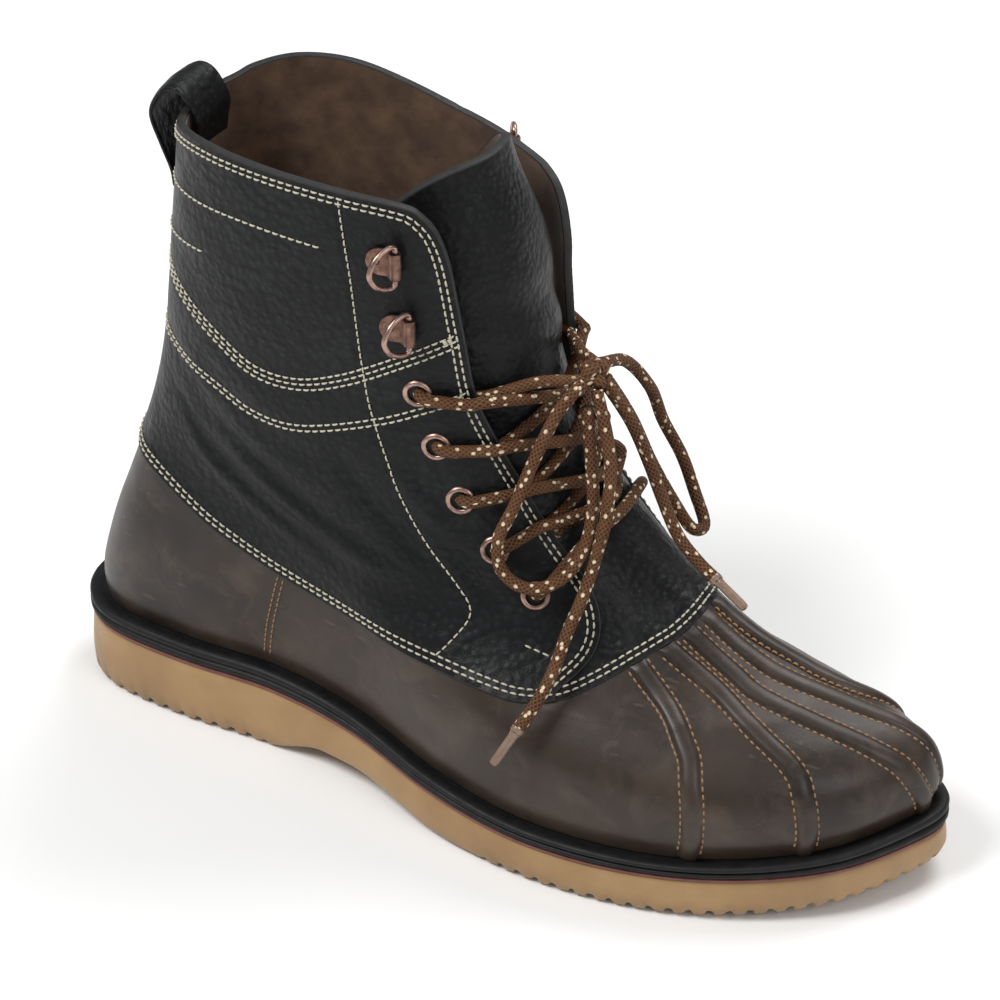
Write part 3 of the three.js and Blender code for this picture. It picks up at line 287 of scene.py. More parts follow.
def locate(axes, wants, zone, v_low=0.0, v_high=0.95):
    """The places whose two named coordinates are as wanted, in one zone of the boot."""
    a = AXES[axes]
    key = (zone, v_low, v_high)
    if key not in TABLES:
        u, v = np.meshgrid(
            np.linspace(*ZONES[zone], 150), np.linspace(v_low, v_high, 120), indexing="ij"
        )
        TABLES[key] = (u.ravel(), v.ravel(), upper(u.ravel(), v.ravel()))
    gu, gv, gp = TABLES[key]
    wants = np.asarray(wants, float)
    first = [int(np.argmin(((gp[:, a] - want) ** 2).sum(1))) for want in wants]
    u, v = gu[first], gv[first]
    for _ in range(10):
        miss = wants - upper(u, v)[:, a]
        du, dv = tangents(u, v, 1e-3)
        du, dv = du[:, a], dv[:, a]
        det = du[:, 0] * dv[:, 1] - du[:, 1] * dv[:, 0]
        det = np.where(np.abs(det) < 1e-3, 1e-3, det)
        step_u = (miss[:, 0] * dv[:, 1] - miss[:, 1] * dv[:, 0]) / det
        step_v = (du[:, 0] * miss[:, 1] - du[:, 1] * miss[:, 0]) / det
        u, v = u + np.clip(step_u, -0.01, 0.01), v + np.clip(step_v, -0.01, 0.01)
    return np.stack([u, v], -1)


def walk(places, vectors):
    """Moves each place over the surface by a vector in millimetres."""
    places = np.array(places, float)
    target = upper(*places.T) + vectors
    for _ in range(3):
        du, dv = tangents(*places.T, 1e-3)
        miss = target - upper(*places.T)
        a, b, c = (du * du).sum(1), (du * dv).sum(1), (dv * dv).sum(1)
        p, q = (du * miss).sum(1), (dv * miss).sum(1)
        det = np.maximum(a * c - b * b, 1e-9)
        places = places + np.stack([(c * p - b * q) / det, (a * q - b * p) / det], -1)
    return places


def beside(places, distance):
    """The same line moved sideways over the surface, to its left seen from outside."""
    line = upper(*places.T)
    along = unit(np.gradient(line, axis=0))
    n = normal(*places.T)
    return walk(places, np.cross(n, along) * distance)


def seam_height(table, x):
    fine = even_line(table, 400)
    return np.interp(x, fine[:, 0], fine[:, 1])


def v_where(u, table, low=0.05, high=0.99):
    """For each u, the v at which the side view meets the line of a table (x, z)."""
    lo, hi = np.full(np.shape(u), low), np.full(np.shape(u), high)
    for _ in range(40):
        mid = (lo + hi) / 2
        p = upper(u, mid)
        above = p[..., 2] > seam_height(table, p[..., 0])
        hi, lo = np.where(above, mid, hi), np.where(above, lo, mid)
    return (lo + hi) / 2


def throat_y(side, z):
    """The y of a side's flap edge at a height."""
    rows = THROAT[side]
    fine = spline(rows, np.linspace(0, len(rows) - 1, 60))[::-1]
    return np.interp(z, fine[:, 1], fine[:, 0])


def distance_to(points, line):
    """Distance of each point from a line of points, and how far along the line it is, 0 to 1."""
    best = np.full(points.shape[:-1], 1e9)
    share = np.zeros(points.shape[:-1])
    n = len(line) - 1
    for i in range(n):
        a, d = line[i], line[i + 1] - line[i]
        t = clamp01(((points - a) @ d) / max(d @ d, 1e-9))
        gap = np.linalg.norm(points - a - t[..., None] * d, axis=-1)
        share = np.where(gap < best, (i + t) / n, share)
        best = np.minimum(best, gap)
    return best, share


# Mesh making
class Solid:
    """Gathers points and faces in millimetres and becomes one Blender object."""

    def __init__(self):
        self.points, self.faces, self.slots, self.uvs, self.count = [], [], [], [], 0

    def add(self, points, faces, slot=0, uv=None):
        points = np.asarray(points, float).reshape(-1, 3)
        self.points.append(points)
        self.faces += [[int(i) + self.count for i in f] for f in faces]
        self.slots += [slot] * len(faces)
        if uv is None:
            uv = [[(0.0, 0.0)] * len(f) for f in faces]
        self.uvs += list(uv)
        self.count += len(points)
        return self

    def tube(self, path, radius, sides, **how):
        """Adds a round cord along a path."""
        points, faces, uv = tube(path, radius, sides, **how)
        return self.add(points, faces, 0, uv)

    def build(self, name, materials, slot, body="boot", replaces=(), sharp=35):
        mesh = bpy.data.meshes.new(name)
        points = (np.vstack(self.points) - (*HEEL_CENTRE, 0.0)) * MM
        mesh.from_pydata(points.tolist(), [], self.faces)
        mesh.polygons.foreach_set("material_index", self.slots)
        layer = mesh.uv_layers.new(name="along")
        flat = np.array([c for face in self.uvs for corner in face for c in corner], np.float32)
        layer.data.foreach_set("uv", flat)
        for m in materials:
            mesh.materials.append(m)
        mesh.shade_smooth()
        if sharp:
            mesh.set_sharp_from_angle(angle=math.radians(sharp))
        mesh.update()
        obj = bpy.data.objects.new(name, mesh)
        bpy.context.scene.collection.objects.link(obj)
        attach(obj, body)
        if replaces:
            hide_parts(*replaces)
        return obj


def grid_faces(rows, cols, closed=False, flip=False):
    faces = []
    for j in range(rows - 1):
        for i in range(cols if closed else cols - 1):
            k = (i + 1) % cols
            f = [j * cols + i, j * cols + k, (j + 1) * cols + k, (j + 1) * cols + i]
            faces.append(f[::-1] if flip else f)
    return faces


def rim(outer, inner, out_dir, bulge=0.45, steps=5, power=0.65):
    """Rows of a rounded edge between two matching loops of points."""
    mid, half = (outer + inner) / 2, (outer - inner) / 2
    reach = np.linalg.norm(half, axis=-1, keepdims=True) * bulge
    rows = []
    for k in range(steps + 1):
        a = math.pi * k / steps
        c, s = math.cos(a), math.sin(a)
        c = math.copysign(abs(c) ** power, c)
        rows.append(mid + half * c + out_dir * reach * abs(s) ** power)
    return np.array(rows)


def sheet(solid, outer, inner, slots=(0, 1, 2), closed=False, flip=False):
    """A wall between two grids of points with rounded free edges. slots: outside, inside, edge."""
    rows, cols = outer.shape[:2]
    solid.add(outer, grid_faces(rows, cols, closed, flip), slots[0])
    solid.add(inner, grid_faces(rows, cols, closed, not flip), slots[1])

    def edge(ids, turn):
        a, b = outer.reshape(-1, 3)[ids], inner.reshape(-1, 3)[ids]
        along = unit(np.roll(a, -1, 0) - np.roll(a, 1, 0))
        out = unit(np.cross(along, unit(a - b))) * turn
        bent = rim(a, b, out)
        faces = grid_faces(len(bent), len(ids), True, (turn > 0) == flip)
        solid.add(bent, faces, slots[2])

    if closed:
        edge(np.arange(cols), -1 if flip else 1)
        edge(np.arange(cols) + (rows - 1) * cols, 1 if flip else -1)
    else:
        top = np.arange(cols) + (rows - 1) * cols
        left = np.arange(rows) * cols
        loop = np.r_[np.arange(cols), left[1:] + cols - 1, top[::-1][1:], left[::-1][1:-1]]
        edge(loop, -1 if flip else 1)


def frames(path, closed=False, up=None):
    """Side and up vectors that don't twist along a path."""
    path = np.asarray(path, float)
    if closed:
        t = unit(np.roll(path, -1, 0) - np.roll(path, 1, 0))
    else:
        t = unit(np.gradient(path, axis=0))
    if up is not None:
        side = unit(np.cross(t, up))
        return t, side, np.cross(side, t)
    ups = np.zeros_like(path)
    first = np.array([0, 0, 1.0]) if abs(t[0][2]) < 0.9 else np.array([1.0, 0, 0])
    hint = first
    for i in range(len(path)):
        side = unit(np.cross(t[i], hint))
        hint = np.cross(side, t[i])
        ups[i] = hint
    return t, unit(np.cross(t, ups)), ups


def tube(path, radius, sides, closed=False, up=None):
    """Points, faces and corner coordinates (turn 0 to 1, length in mm) of a round cord."""
    path = np.asarray(path, float)
    n = len(path)
    _, side, ups = frames(path, closed, up)
    r = np.broadcast_to(np.asarray(radius, float), (n,))
    a = np.linspace(0, 2 * math.pi, sides, endpoint=False)
    ring = np.cos(a)[None, :, None] * side[:, None] + np.sin(a)[None, :, None] * ups[:, None]
    points = path[:, None] + ring * r[:, None, None]
    d = run(path)
    faces, uv = [], []
    for j in range(n if closed else n - 1):
        for i in range(sides):
            k = (i + 1) % sides
            m = (j + 1) % n
            faces.append([j * sides + i, m * sides + i, m * sides + k, j * sides + k])
            z = d[j + 1] if j + 1 < n else d[-1] + 1
            uv.append([(i / sides, d[j]), (i / sides, z), ((i + 1) / sides, z), ((i + 1) / sides, d[j])])
    if not closed:
        for start, flip in ((0, False), ((n - 1) * sides, True)):
            f = [start + k for k in range(sides)]
            faces.append(f[::-1] if flip else f)
            uv.append([(0.0, 0.0)] * sides)
    return points.reshape(-1, 3), faces, uv


def turned(profile, at, axis, sides, closed=True):
    """A profile of radius and height turned round an axis."""
    axis = unit(np.asarray(axis, float))
    hint = np.array([0, 0, 1.0]) if abs(axis[2]) < 0.9 else np.array([1.0, 0, 0])
    s = unit(np.cross(axis, hint))
    t = np.cross(axis, s)
    a = np.linspace(0, 2 * math.pi, sides, endpoint=False)
    rows = [
        at + axis * h + r * (np.cos(a)[:, None] * s + np.sin(a)[:, None] * t) for r, h in profile
    ]
    if closed:
        rows.append(rows[0])
    points = np.array(rows)
    return points.reshape(-1, 3), grid_faces(len(rows), sides, True)


# Materials
class Look:
    """A procedural material: nodes are made by short calls, and plain values sit on the shader."""

    def __init__(self, name, colour, rough, **shader):
        self.material = bpy.data.materials.new(name)
        self.material.use_nodes = True
        self.nodes = self.material.node_tree.nodes
        self.links = self.material.node_tree.links
        self.shader = self.nodes["Principled BSDF"]
        self.shader.inputs["Base Color"].default_value = (*colour, 1)
        self.shader.inputs["Roughness"].default_value = rough
        for key, value in shader.items():
            self.shader.inputs[key.replace("_", " ")].default_value = value
        self.where = self.nodes.new("ShaderNodeTexCoord").outputs["Object"]
        self.material.diffuse_color = (*colour, 1)

    def node(self, kind, settings=(), **inputs):
        n = self.nodes.new("ShaderNode" + kind)
        for key, value in dict(settings).items():
            setattr(n, key, value)
        for key, value in inputs.items():
            socket = n.inputs[int(key[1:])] if key[1:].isdigit() else n.inputs[key.replace("_", " ")]
            if isinstance(value, bpy.types.NodeSocket):
                self.links.new(value, socket)
            else:
                socket.default_value = value
        return n

    def stretched(self, scale):
        return self.node("Mapping", Vector=self.where, Scale=scale).outputs[0]

    def noise(self, scale, detail=3.0, rough=0.55, vector=None, distort=0.0):
        return self.node(
            "TexNoise", Vector=vector or self.where, Scale=scale, Detail=detail, Roughness=rough,
            Distortion=distort,
        ).outputs["Fac"]

    def cells(self, scale):
        n = self.node("TexVoronoi", {"feature": "SMOOTH_F1"}, Vector=self.where, Scale=scale)
        return n.outputs["Distance"]

    def maths(self, how, a, b=0.0, c=0.0):
        return self.node("Math", {"operation": how}, _0=a, _1=b, _2=c).outputs[0]

    def ramp(self, value, low, high, to_low=0.0, to_high=1.0):
        n = self.node("MapRange", _0=value, _1=low, _2=high, _3=to_low, _4=to_high)
        return n.outputs[0]

    def mix(self, share, a, b):
        n = self.node("Mix", {"data_type": "RGBA"}, _0=share)
        for k, value in ((6, a), (7, b)):
            if isinstance(value, bpy.types.NodeSocket):
                self.links.new(value, n.inputs[k])
            else:
                n.inputs[k].default_value = (*value, 1)
        return n.outputs[2]

    def colour(self, value):
        self.links.new(value, self.shader.inputs["Base Color"])

    def rough(self, value):
        self.links.new(value, self.shader.inputs["Roughness"])

    def bump(self, height, distance, strength=1.0, below=None):
        n = self.node("Bump", Height=height, Distance=distance, Strength=strength)
        if below is not None:
            self.links.new(below, n.inputs["Normal"])
        self.links.new(n.outputs[0], self.shader.inputs["Normal"])
        return n.outputs[0]


def black_leather(name, tint, grain=430.0):
    """Black leather with pebbles, paler where it is rubbed, with painted shade darkening the crevices
    between the pebbles.
    """
    m = Look(name, tint, 0.5, Specular_IOR_Level=0.17)
    pebbles = m.cells(grain)
    fine = m.noise(1700, 2)
    broad = m.noise(28, 4)
    height = m.maths("MULTIPLY_ADD", fine, 0.35, m.maths("MULTIPLY", pebbles, -1.1))
    bent = m.bump(height, 0.00055, 0.65)
    m.bump(m.noise(95, 3, vector=m.stretched((1, 1, 1.6))), 0.0011, 0.28, below=bent)
    lighter = tuple(c * 1.8 + 0.002 for c in tint)
    # Real wear from broad noise, paler on the pebble tops, mixed with painted shade that keeps the crevices
    # between pebbles darker
    worn_and_crevice_shade = m.ramp(m.maths("MULTIPLY", broad, m.ramp(pebbles, 0.1, 0.55, 1.25, 0.6)), 0.36, 0.72)
    m.colour(m.mix(worn_and_crevice_shade, tint, lighter))
    m.rough(m.ramp(m.noise(60, 3), 0.3, 0.7, 0.33, 0.5))
    return m.material


def brown_leather(name):
    """Waxed brown leather with clouds of three browns and a few fine scratches."""
    dark, mid, pale = (0.013, 0.008, 0.0055), (0.042, 0.0275, 0.018), (0.09, 0.062, 0.043)
    m = Look(name, mid, 0.4, Specular_IOR_Level=0.34, Coat_Weight=0.12, Coat_Roughness=0.3)
    broad = m.noise(16, 5, 0.6)
    patchy = m.noise(70, 4, 0.6, distort=0.6)
    base = m.mix(m.ramp(broad, 0.36, 0.66), dark, mid)
    base = m.mix(m.ramp(patchy, 0.5, 0.78, 0.0, 0.5), base, pale)
    scratch = m.noise(240, 2, 0.5, vector=m.stretched((0.25, 1.6, 2.2)))
    base = m.mix(m.ramp(scratch, 0.68, 0.76, 0.0, 0.35), base, (0.11, 0.08, 0.06))
    m.colour(base)
    m.rough(m.ramp(m.noise(48, 4), 0.3, 0.72, 0.34, 0.52))
    pores = m.noise(2100, 2, 0.5)
    bent = m.bump(pores, 0.00012, 0.4)
    m.bump(m.noise(130, 3), 0.0006, 0.22, below=bent)
    return m.material


def plain(name, colour, rough, vary=0.25, scale=180.0, bump=0.0001, **shader):
    """A material with a fine mottle of its own colour and a light bump."""
    m = Look(name, colour, rough, **shader)
    dark = tuple(c * (1 - vary) for c in colour)
    pale = tuple(min(1.0, c * (1 + vary)) for c in colour)
    fleck = m.noise(scale, 4, 0.6)
    m.colour(m.mix(m.ramp(fleck, 0.35, 0.65), dark, pale))
    m.rough(m.ramp(m.noise(scale * 0.6, 3), 0.3, 0.7, max(0.05, rough - 0.07), rough + 0.08))
    m.bump(fleck, bump, 0.5)
    return m.material


def gum_rubber(name):
    """Gum rubber, dirtier toward the ground."""
    m = Look(name, (0.40, 0.235, 0.085), 0.46, Specular_IOR_Level=0.45, Coat_Weight=0.1, Coat_Roughness=0.4)
    height = m.node("SeparateXYZ", Vector=m.where).outputs["Z"]
    cloud = m.noise(35, 4)
    base = m.mix(m.ramp(cloud, 0.35, 0.68), (0.275, 0.16, 0.066), (0.375, 0.228, 0.1))
    low = m.ramp(m.maths("MULTIPLY_ADD", m.noise(160, 3), 0.012, height), 0.004, 0.013, 0.55, 0.0)
    base = m.mix(low, base, (0.19, 0.11, 0.048))
    m.colour(base)
    m.bump(m.noise(900, 3), 0.00008, 0.4)
    return m.material


def lace_cord(name):
    """Braided brown cord: a diagonal weave with painted shade in its grooves, and pairs of cream flecks
    along it.
    """
    m = Look(name, (0.11, 0.045, 0.016), 0.72, Specular_IOR_Level=0.3)
    along = m.node("UVMap", {"uv_map": "along"}).outputs[0]
    parts = m.node("SeparateXYZ", Vector=along)
    turn, mm = parts.outputs["X"], parts.outputs["Y"]
    round_ = m.maths("MULTIPLY", turn, 2 * math.pi * 8)
    forward = m.maths("MULTIPLY", mm, 2 * math.pi / 1.9)
    one = m.maths("SINE", m.maths("ADD", round_, forward))
    two = m.maths("SINE", m.maths("SUBTRACT", round_, forward))
    weave = m.maths("MAXIMUM", one, two)
    # Flecks: cells of the unrolled cord, kept where a coarse noise says so
    cell = m.node("CombineXYZ", X=m.maths("MULTIPLY", turn, 5.0), Y=m.maths("MULTIPLY", mm, 0.34))
    dots = m.node("TexVoronoi", {"voronoi_dimensions": "2D"}, Vector=cell.outputs[0], Scale=1.0)
    near = m.ramp(dots.outputs["Distance"], 0.17, 0.27, 1.0, 0.0)
    chosen = m.node("SeparateColor", Color=dots.outputs["Color"]).outputs[0]
    fleck = m.maths("MULTIPLY", near, m.ramp(chosen, 0.52, 0.56))
    # Painted shade: the colour follows the weave's height, much darker in its grooves than on the strands
    tone_with_groove_shade = m.mix(m.ramp(weave, -0.2, 0.9), (0.026, 0.0095, 0.004), (0.128, 0.051, 0.018))
    tone_with_groove_shade = m.mix(m.ramp(m.noise(90, 3), 0.4, 0.7, 0.0, 0.35), tone_with_groove_shade, (0.17, 0.082, 0.034))
    m.colour(m.mix(fleck, tone_with_groove_shade, (0.72, 0.6, 0.42)))
    m.bump(weave, 0.0004, 0.6)
    return m.material


def lining(name):
    """Soft brown cloth of the inside."""
    m = Look(name, (0.085, 0.045, 0.024), 0.85, Specular_IOR_Level=0.2, Sheen_Weight=0.25)
    m.colour(m.mix(m.ramp(m.noise(120, 4), 0.35, 0.7), (0.06, 0.031, 0.017), (0.12, 0.068, 0.038)))
    m.bump(m.noise(1400, 3), 0.0002, 0.5)
    return m.material


BLACK = black_leather("black_pebbled_leather", (0.0052, 0.0056, 0.0062))
SOFT_BLACK = black_leather("soft_black_leather", (0.0055, 0.0058, 0.0062), 520.0)
EDGE_BLACK = plain("black_leather_edge", (0.012, 0.011, 0.011), 0.6, 0.3, 400, 0.0002)
BROWN = brown_leather("brown_waxed_leather")
BROWN_EDGE = plain("brown_leather_edge", (0.05, 0.03, 0.02), 0.62, 0.3, 400, 0.0002)
LINING = lining("brown_lining")
CREAM = plain("cream_thread", (0.50, 0.475, 0.37), 0.7, 0.18, 2600, 0.0001, Specular_IOR_Level=0.3)
TAN = plain("tan_thread", (0.27, 0.15, 0.075), 0.7, 0.25, 2600, 0.0001, Specular_IOR_Level=0.3)
GUM = gum_rubber("gum_rubber")
WELT = plain("black_welt_rubber", (0.007, 0.007, 0.0075), 0.55, 0.3, 300, 0.00008, Specular_IOR_Level=0.28)
RED = plain("dark_red_rubber", (0.16, 0.050, 0.040), 0.5, 0.2, 300, 0.00008)
COPPER = plain("antique_copper", (0.36, 0.235, 0.195), 0.34, 0.35, 420, 0.00008, Metallic=1.0)
DARK_COPPER = plain("dark_antique_copper", (0.2, 0.115, 0.088), 0.42, 0.4, 420, 0.0001, Metallic=1.0)
LACE = lace_cord("braided_lace")
TIP = plain("smoky_lace_tip", (0.20, 0.13, 0.09), 0.3, 0.2, 300, 0.00005, Coat_Weight=0.4)


# The lines that the panels and stitches follow, as places on the upper
def side_line(table, side, steps):
    return locate("xz", even_line(table, steps), side, 0.05)


def along_u(u, table):
    return np.stack([u, v_where(u, table)], -1)


def flap_edge(side):
    """Free edge of a flap from the saddle seam up to the corner of the collar, as places."""
    low = locate("xy", even_line(FLAP_FRONT[side], 30)[::-1], side + "_front", 0.2, 0.62)
    seam = v_where(low[:, 0], SADDLE_SEAM)
    low = low[low[:, 1] > seam + 0.006]
    start = (low[0, 0] * 1.0, v_where(low[:1, 0], SADDLE_SEAM)[0])
    corner = COLLAR[side][CORNER_FROM[side]:-1][::-1]
    z = np.linspace(102, corner[0][1] - 10, 26)
    beside_throat = np.stack([throat_y(side, z), z], -1)
    high = locate("yz", beside_throat, side + "_front", 0.45, 0.9)
    bend = locate("xz", even_line(corner, 20), side + "_front", 0.6)
    return np.vstack([[start], low[:-1], high, bend])


FLAP = {side: flap_edge(side) for side in SIDES}
EDGE_STEPS = 118


def by_length(places, steps):
    """The same line of places with its points equally far apart on the boot."""
    return resample(places, steps, upper(*places.T))


def smoothed(places, times=2):
    out = places.copy()
    for _ in range(times):
        out[1:-1] = (out[:-2] + 2 * out[1:-1] + out[2:]) / 4
    return out


def even_edge(side):
    return smoothed(by_length(FLAP[side], EDGE_STEPS), 3)


def quarter_places(side, cols, rows):
    """Places of one quarter: rows from the seam to the collar, columns from the heel to the flap edge."""
    edge = even_edge(side)
    heel_u = HEEL_END[side]
    bottom_u = np.linspace(heel_u, edge[0, 0], 200)
    bottom = by_length(along_u(bottom_u, SADDLE_SEAM), cols)
    top_u = np.linspace(heel_u, edge[-1, 0], 200)
    top = by_length(along_u(top_u, COLLAR[side]), cols)
    bottom[-1], top[-1] = edge[0], edge[-1]
    heel = np.stack([np.full(rows + 1, heel_u), np.linspace(bottom[0, 1], top[0, 1], rows + 1)], -1)
    a = np.linspace(0, 1, cols + 1)[None, :, None]
    b = np.linspace(0, 1, rows + 1)[:, None, None]
    mesh = (1 - b) * bottom[None] + b * top[None] + (1 - a) * heel[:, None] + a * edge[:, None]
    mesh -= (1 - a) * (1 - b) * bottom[0] + a * (1 - b) * bottom[-1]
    mesh -= (1 - a) * b * top[0] + a * b * top[-1]
    return mesh


# Creases placed one by one, seen from the side: points (x, z), width, depth. Ridges have a minus.
CREASES = [
    ([(38, 132), (52, 116), (70, 101), (92, 90), (118, 83)], 4.6, 1.3),
    ([(44, 122), (60, 105), (82, 92), (108, 82)], 3.2, -1.6),
    ([(36, 148), (52, 130), (74, 114), (100, 101), (128, 92)], 5.2, 1.2),
    ([(60, 120), (84, 104), (110, 93), (132, 86)], 3.4, -1.5),
    ([(104, 128), (120, 112), (136, 98), (150, 86)], 4.4, 1.1),
    ([(126, 124), (138, 112), (150, 100)], 3.6, -1.2),
    ([(140, 108), (152, 95), (163, 82)], 3.6, 1.0),
    ([(56, 140), (80, 126), (106, 118)], 6.0, 1.0),
]


DRAWN = {}


def drawn(rows, side, steps):
    """The points on the upper of a line seen from the side."""
    key = (tuple(rows), side, steps)
    if key not in DRAWN:
        DRAWN[key] = upper(*side_line(rows, side, steps).T)
    return DRAWN[key]


def crease_height(points, side):
    """Soft troughs and ridges where the leather folds at the ankle."""
    h = np.zeros(points.shape[:-1])
    for rows, width, depth in CREASES:
        gap, share = distance_to(points, drawn(rows, side, 14))
        taper = np.sin(math.pi * clamp01(share)) ** 0.7
        h -= depth * np.exp(-((gap / width) ** 2)) * taper
    return np.maximum(h, 0.2 - QUARTER)


def quarters():
    """The black shaft and both flaps, one sheet from flap edge to flap edge round the heel."""
    cols, rows = 150, EDGE_STEPS
    outside, inside = [], []
    for side in SIDES:
        places = quarter_places(side, cols, rows)
        u, v = places[..., 0], places[..., 1]
        flat = upper(u, v)
        n = normal(u, v)
        h = QUARTER + crease_height(flat, side)
        h = h + seam_groove(flat, side)
        low = lerp(-0.1, -WALL, smooth(0.36, 0.62, v))
        outside.append(flat + n * h[..., None])
        inside.append(flat + n * np.asarray(low)[..., None])
    outer = np.concatenate([outside[0][:, ::-1], outside[1][:, 1:]], 1)
    inner = np.concatenate([inside[0][:, ::-1], inside[1][:, 1:]], 1)
    solid = Solid()
    sheet(solid, outer, inner, (0, 1, 2), flip=True)
    looks = [BLACK, LINING, EDGE_BLACK]
    return solid.build("quarters_and_shaft", looks, "upper_leather", replaces=["upper"])


# Stitch lines of the outer side, seen from the side: x, z. The inner side has the same lines.
TRIPLE_BAND = [
    (37, 168.6), (44.2, 163.7), (64.5, 153.2), (79.1, 146.2), (94.8, 146.2), (110.8, 152.2),
    (129.6, 162.8), (146.6, 172.6),
]
DOUBLE_BAND = [
    (33.6, 143.6), (36, 141.1), (61.4, 134.9), (77.5, 129.6), (95.7, 130.3), (121.4, 139.5),
    (137.8, 147.2), (149.2, 153),
]
SHORT_ROW = [(40.4, 196), (50.7, 197.6), (77, 199.3), (105.2, 198.2)]
SHORTER_ROW = [(38.2, 178), (47.5, 179.8), (60.9, 181.7)]
UPRIGHT = [
    (111.8, 216), (113.6, 200), (115.2, 187.5), (118.1, 156), (121.3, 138.9), (129.2, 116.4),
    (138.1, 101.2), (149.3, 88.7), (154.3, 82.5), (154.6, 77.5), (150.6, 70.8), (147.4, 66.8),
]
TACK = [(172.9, 72.8), (181.5, 70.4)]
BAR_TACKS = [[(142.6, 171.2), (145.2, 172.6)], [(145.0, 150.8), (147.8, 152.2)]]
SIDE_SEAM = [(84.4, 68.5), (82.4, 60), (79.6, 48), (77.5, 36)]


def seam_groove(points, side):
    """A shallow trough under the rows of stitches of the flap and bands."""
    h = np.zeros(points.shape[:-1])
    for rows, width in ((TRIPLE_BAND, 4.2), (DOUBLE_BAND, 2.8), (UPRIGHT, 1.4)):
        gap, _ = distance_to(points, drawn(rows, side, 40))
        h -= 0.22 * np.exp(-((gap / width) ** 4))
    return h


def stitches(solid, line, ups, pitch=2.8, length=2.2, radius=0.35):
    """One small capsule for each stitch along a line of points."""
    d = run(line)
    total = d[-1]
    count = max(1, int(round(total / pitch)))
    thick = radius * np.array([0.55, 0.95, 1, 0.95, 0.55])
    arch = np.array([-0.35, 0.12, 0.2, 0.12, -0.35])
    for k in range(count):
        mid = (k + 0.5) * total / count
        t = mid + np.linspace(-0.5, 0.5, 5) * min(length, 0.84 * total / count)
        up = unit(read_off(t, d, ups))
        path = read_off(t, d, line) + up * arch[:, None]
        solid.tube(path, thick, 6, up=up)


def stitch_places(solid, places, height, **how):
    """Stitches along a line of places, at a height over the base surface."""
    u, v = places[:, 0], places[:, 1]
    stitches(solid, lift(u, v, height), normal(u, v), **how)


def black_stitching():
    """Cream rows of the collar, flaps, bands and saddle seam."""
    cream = Solid()
    for side in SIDES:
        turn = -TURN[side]
        near_heel = HEEL_END[side] + turn * 0.012

        def sew(row, above=0.0, **how):
            stitch_places(cream, row, row_height(row, side) + above, **how)

        edge = even_edge(side)
        collar = along_u(np.linspace(edge[-1, 0], near_heel, 160), COLLAR[side])
        border = by_length(np.vstack([edge, collar[1:]]), 260)
        for inset in (1.7, 3.6):
            sew(beside(smoothed(border, 2), turn * inset)[3:])
        seam = along_u(np.linspace(near_heel, edge[0, 0], 260), SADDLE_SEAM)
        for up in (1.8, 3.8):
            sew(beside(by_length(seam, 200), turn * up))
        for rows, gaps in ((TRIPLE_BAND, (-1.9, 0, 1.9)), (DOUBLE_BAND, (-1.0, 1.0))):
            for gap in gaps:
                sew(beside(side_line(rows, side, 60), gap))
        for rows in (SHORT_ROW, SHORTER_ROW, TACK):
            sew(side_line(rows, side, 30))
        for rows in BAR_TACKS:
            for gap in (-0.6, 0.0, 0.6):
                sew(beside(side_line(rows, side, 12), gap), 0.25, pitch=1.3, length=1.2, radius=0.38)
        row = side_line(UPRIGHT, side, 90)
        row = row[row[:, 1] < v_where(row[:, 0], COLLAR[side]) - 0.008]
        sew(row, pitch=2.6, length=2.3, radius=0.3)
    # Bridge: the double row above its edge on the vamp
    seam = along_u(np.linspace(FLAP["outer"][0, 0], FLAP["inner"][0, 0], 260), SADDLE_SEAM)
    for up in (1.6, 3.6):
        row = beside(by_length(seam, 140), up)
        p = upper(*row.T)
        stitch_places(cream, row, BRIDGE + 0.12 + 0.55 * lower_height(p))
    return cream.build("cream_stitching", [CREAM], "upper_leather", sharp=0)


def row_height(places, side):
    """Height of the black leather's face along a line of places."""
    p = upper(*places.T)
    return QUARTER + crease_height(p, side) + seam_groove(p, side) + 0.1


# Ribs of the vamp
RIB_LINES = [spline(rows, np.linspace(0, len(rows) - 1, 60)) for rows in RIBS]


def lower_height(points):
    """Raised ribs with a stitched gutter on both sides."""
    h = np.zeros(points.shape[:-1])
    for places in RIB_LINES:
        gap, _ = distance_to(points, upper(*places.T))
        half = RIB_WIDE / 2
        dome = np.sqrt(clamp01(1 - (gap / (half + 0.5)) ** 2))
        h = np.maximum(h, RIB_HIGH * 1.2 * dome) - 0.75 * np.exp(-(((gap - half - 0.75) / 0.75) ** 2))
    return h


def lower_leather():
    """Brown lower from the welt to under the black leather, with the five ribs pressed into it."""
    dense = np.linspace(0.3, 0.7, 330, endpoint=False)
    around = np.r_[np.linspace(0, 0.3, 90, endpoint=False), dense, np.linspace(0.7, 1, 90, endpoint=False)]
    seam = v_where(around, SADDLE_SEAM)
    top = seam + 0.03
    t = np.linspace(0, 1, 92)[:, None]
    u = np.broadcast_to(around, (92, len(around)))
    v = t * top[None]
    flat, n = upper(u, v), normal(u, v)
    tuck = -0.5 * smooth(0.05, 0.0, v)
    h = lower_height(flat) * smooth(0.004, -0.008, v - seam[None]) + tuck
    solid = Solid()
    inner = flat - n * WALL
    sheet(solid, flat + n * h[..., None], inner, (0, 1, 2), closed=True, flip=False)
    return solid.build("brown_lower", [BROWN, LINING, BROWN_EDGE], "upper_leather")


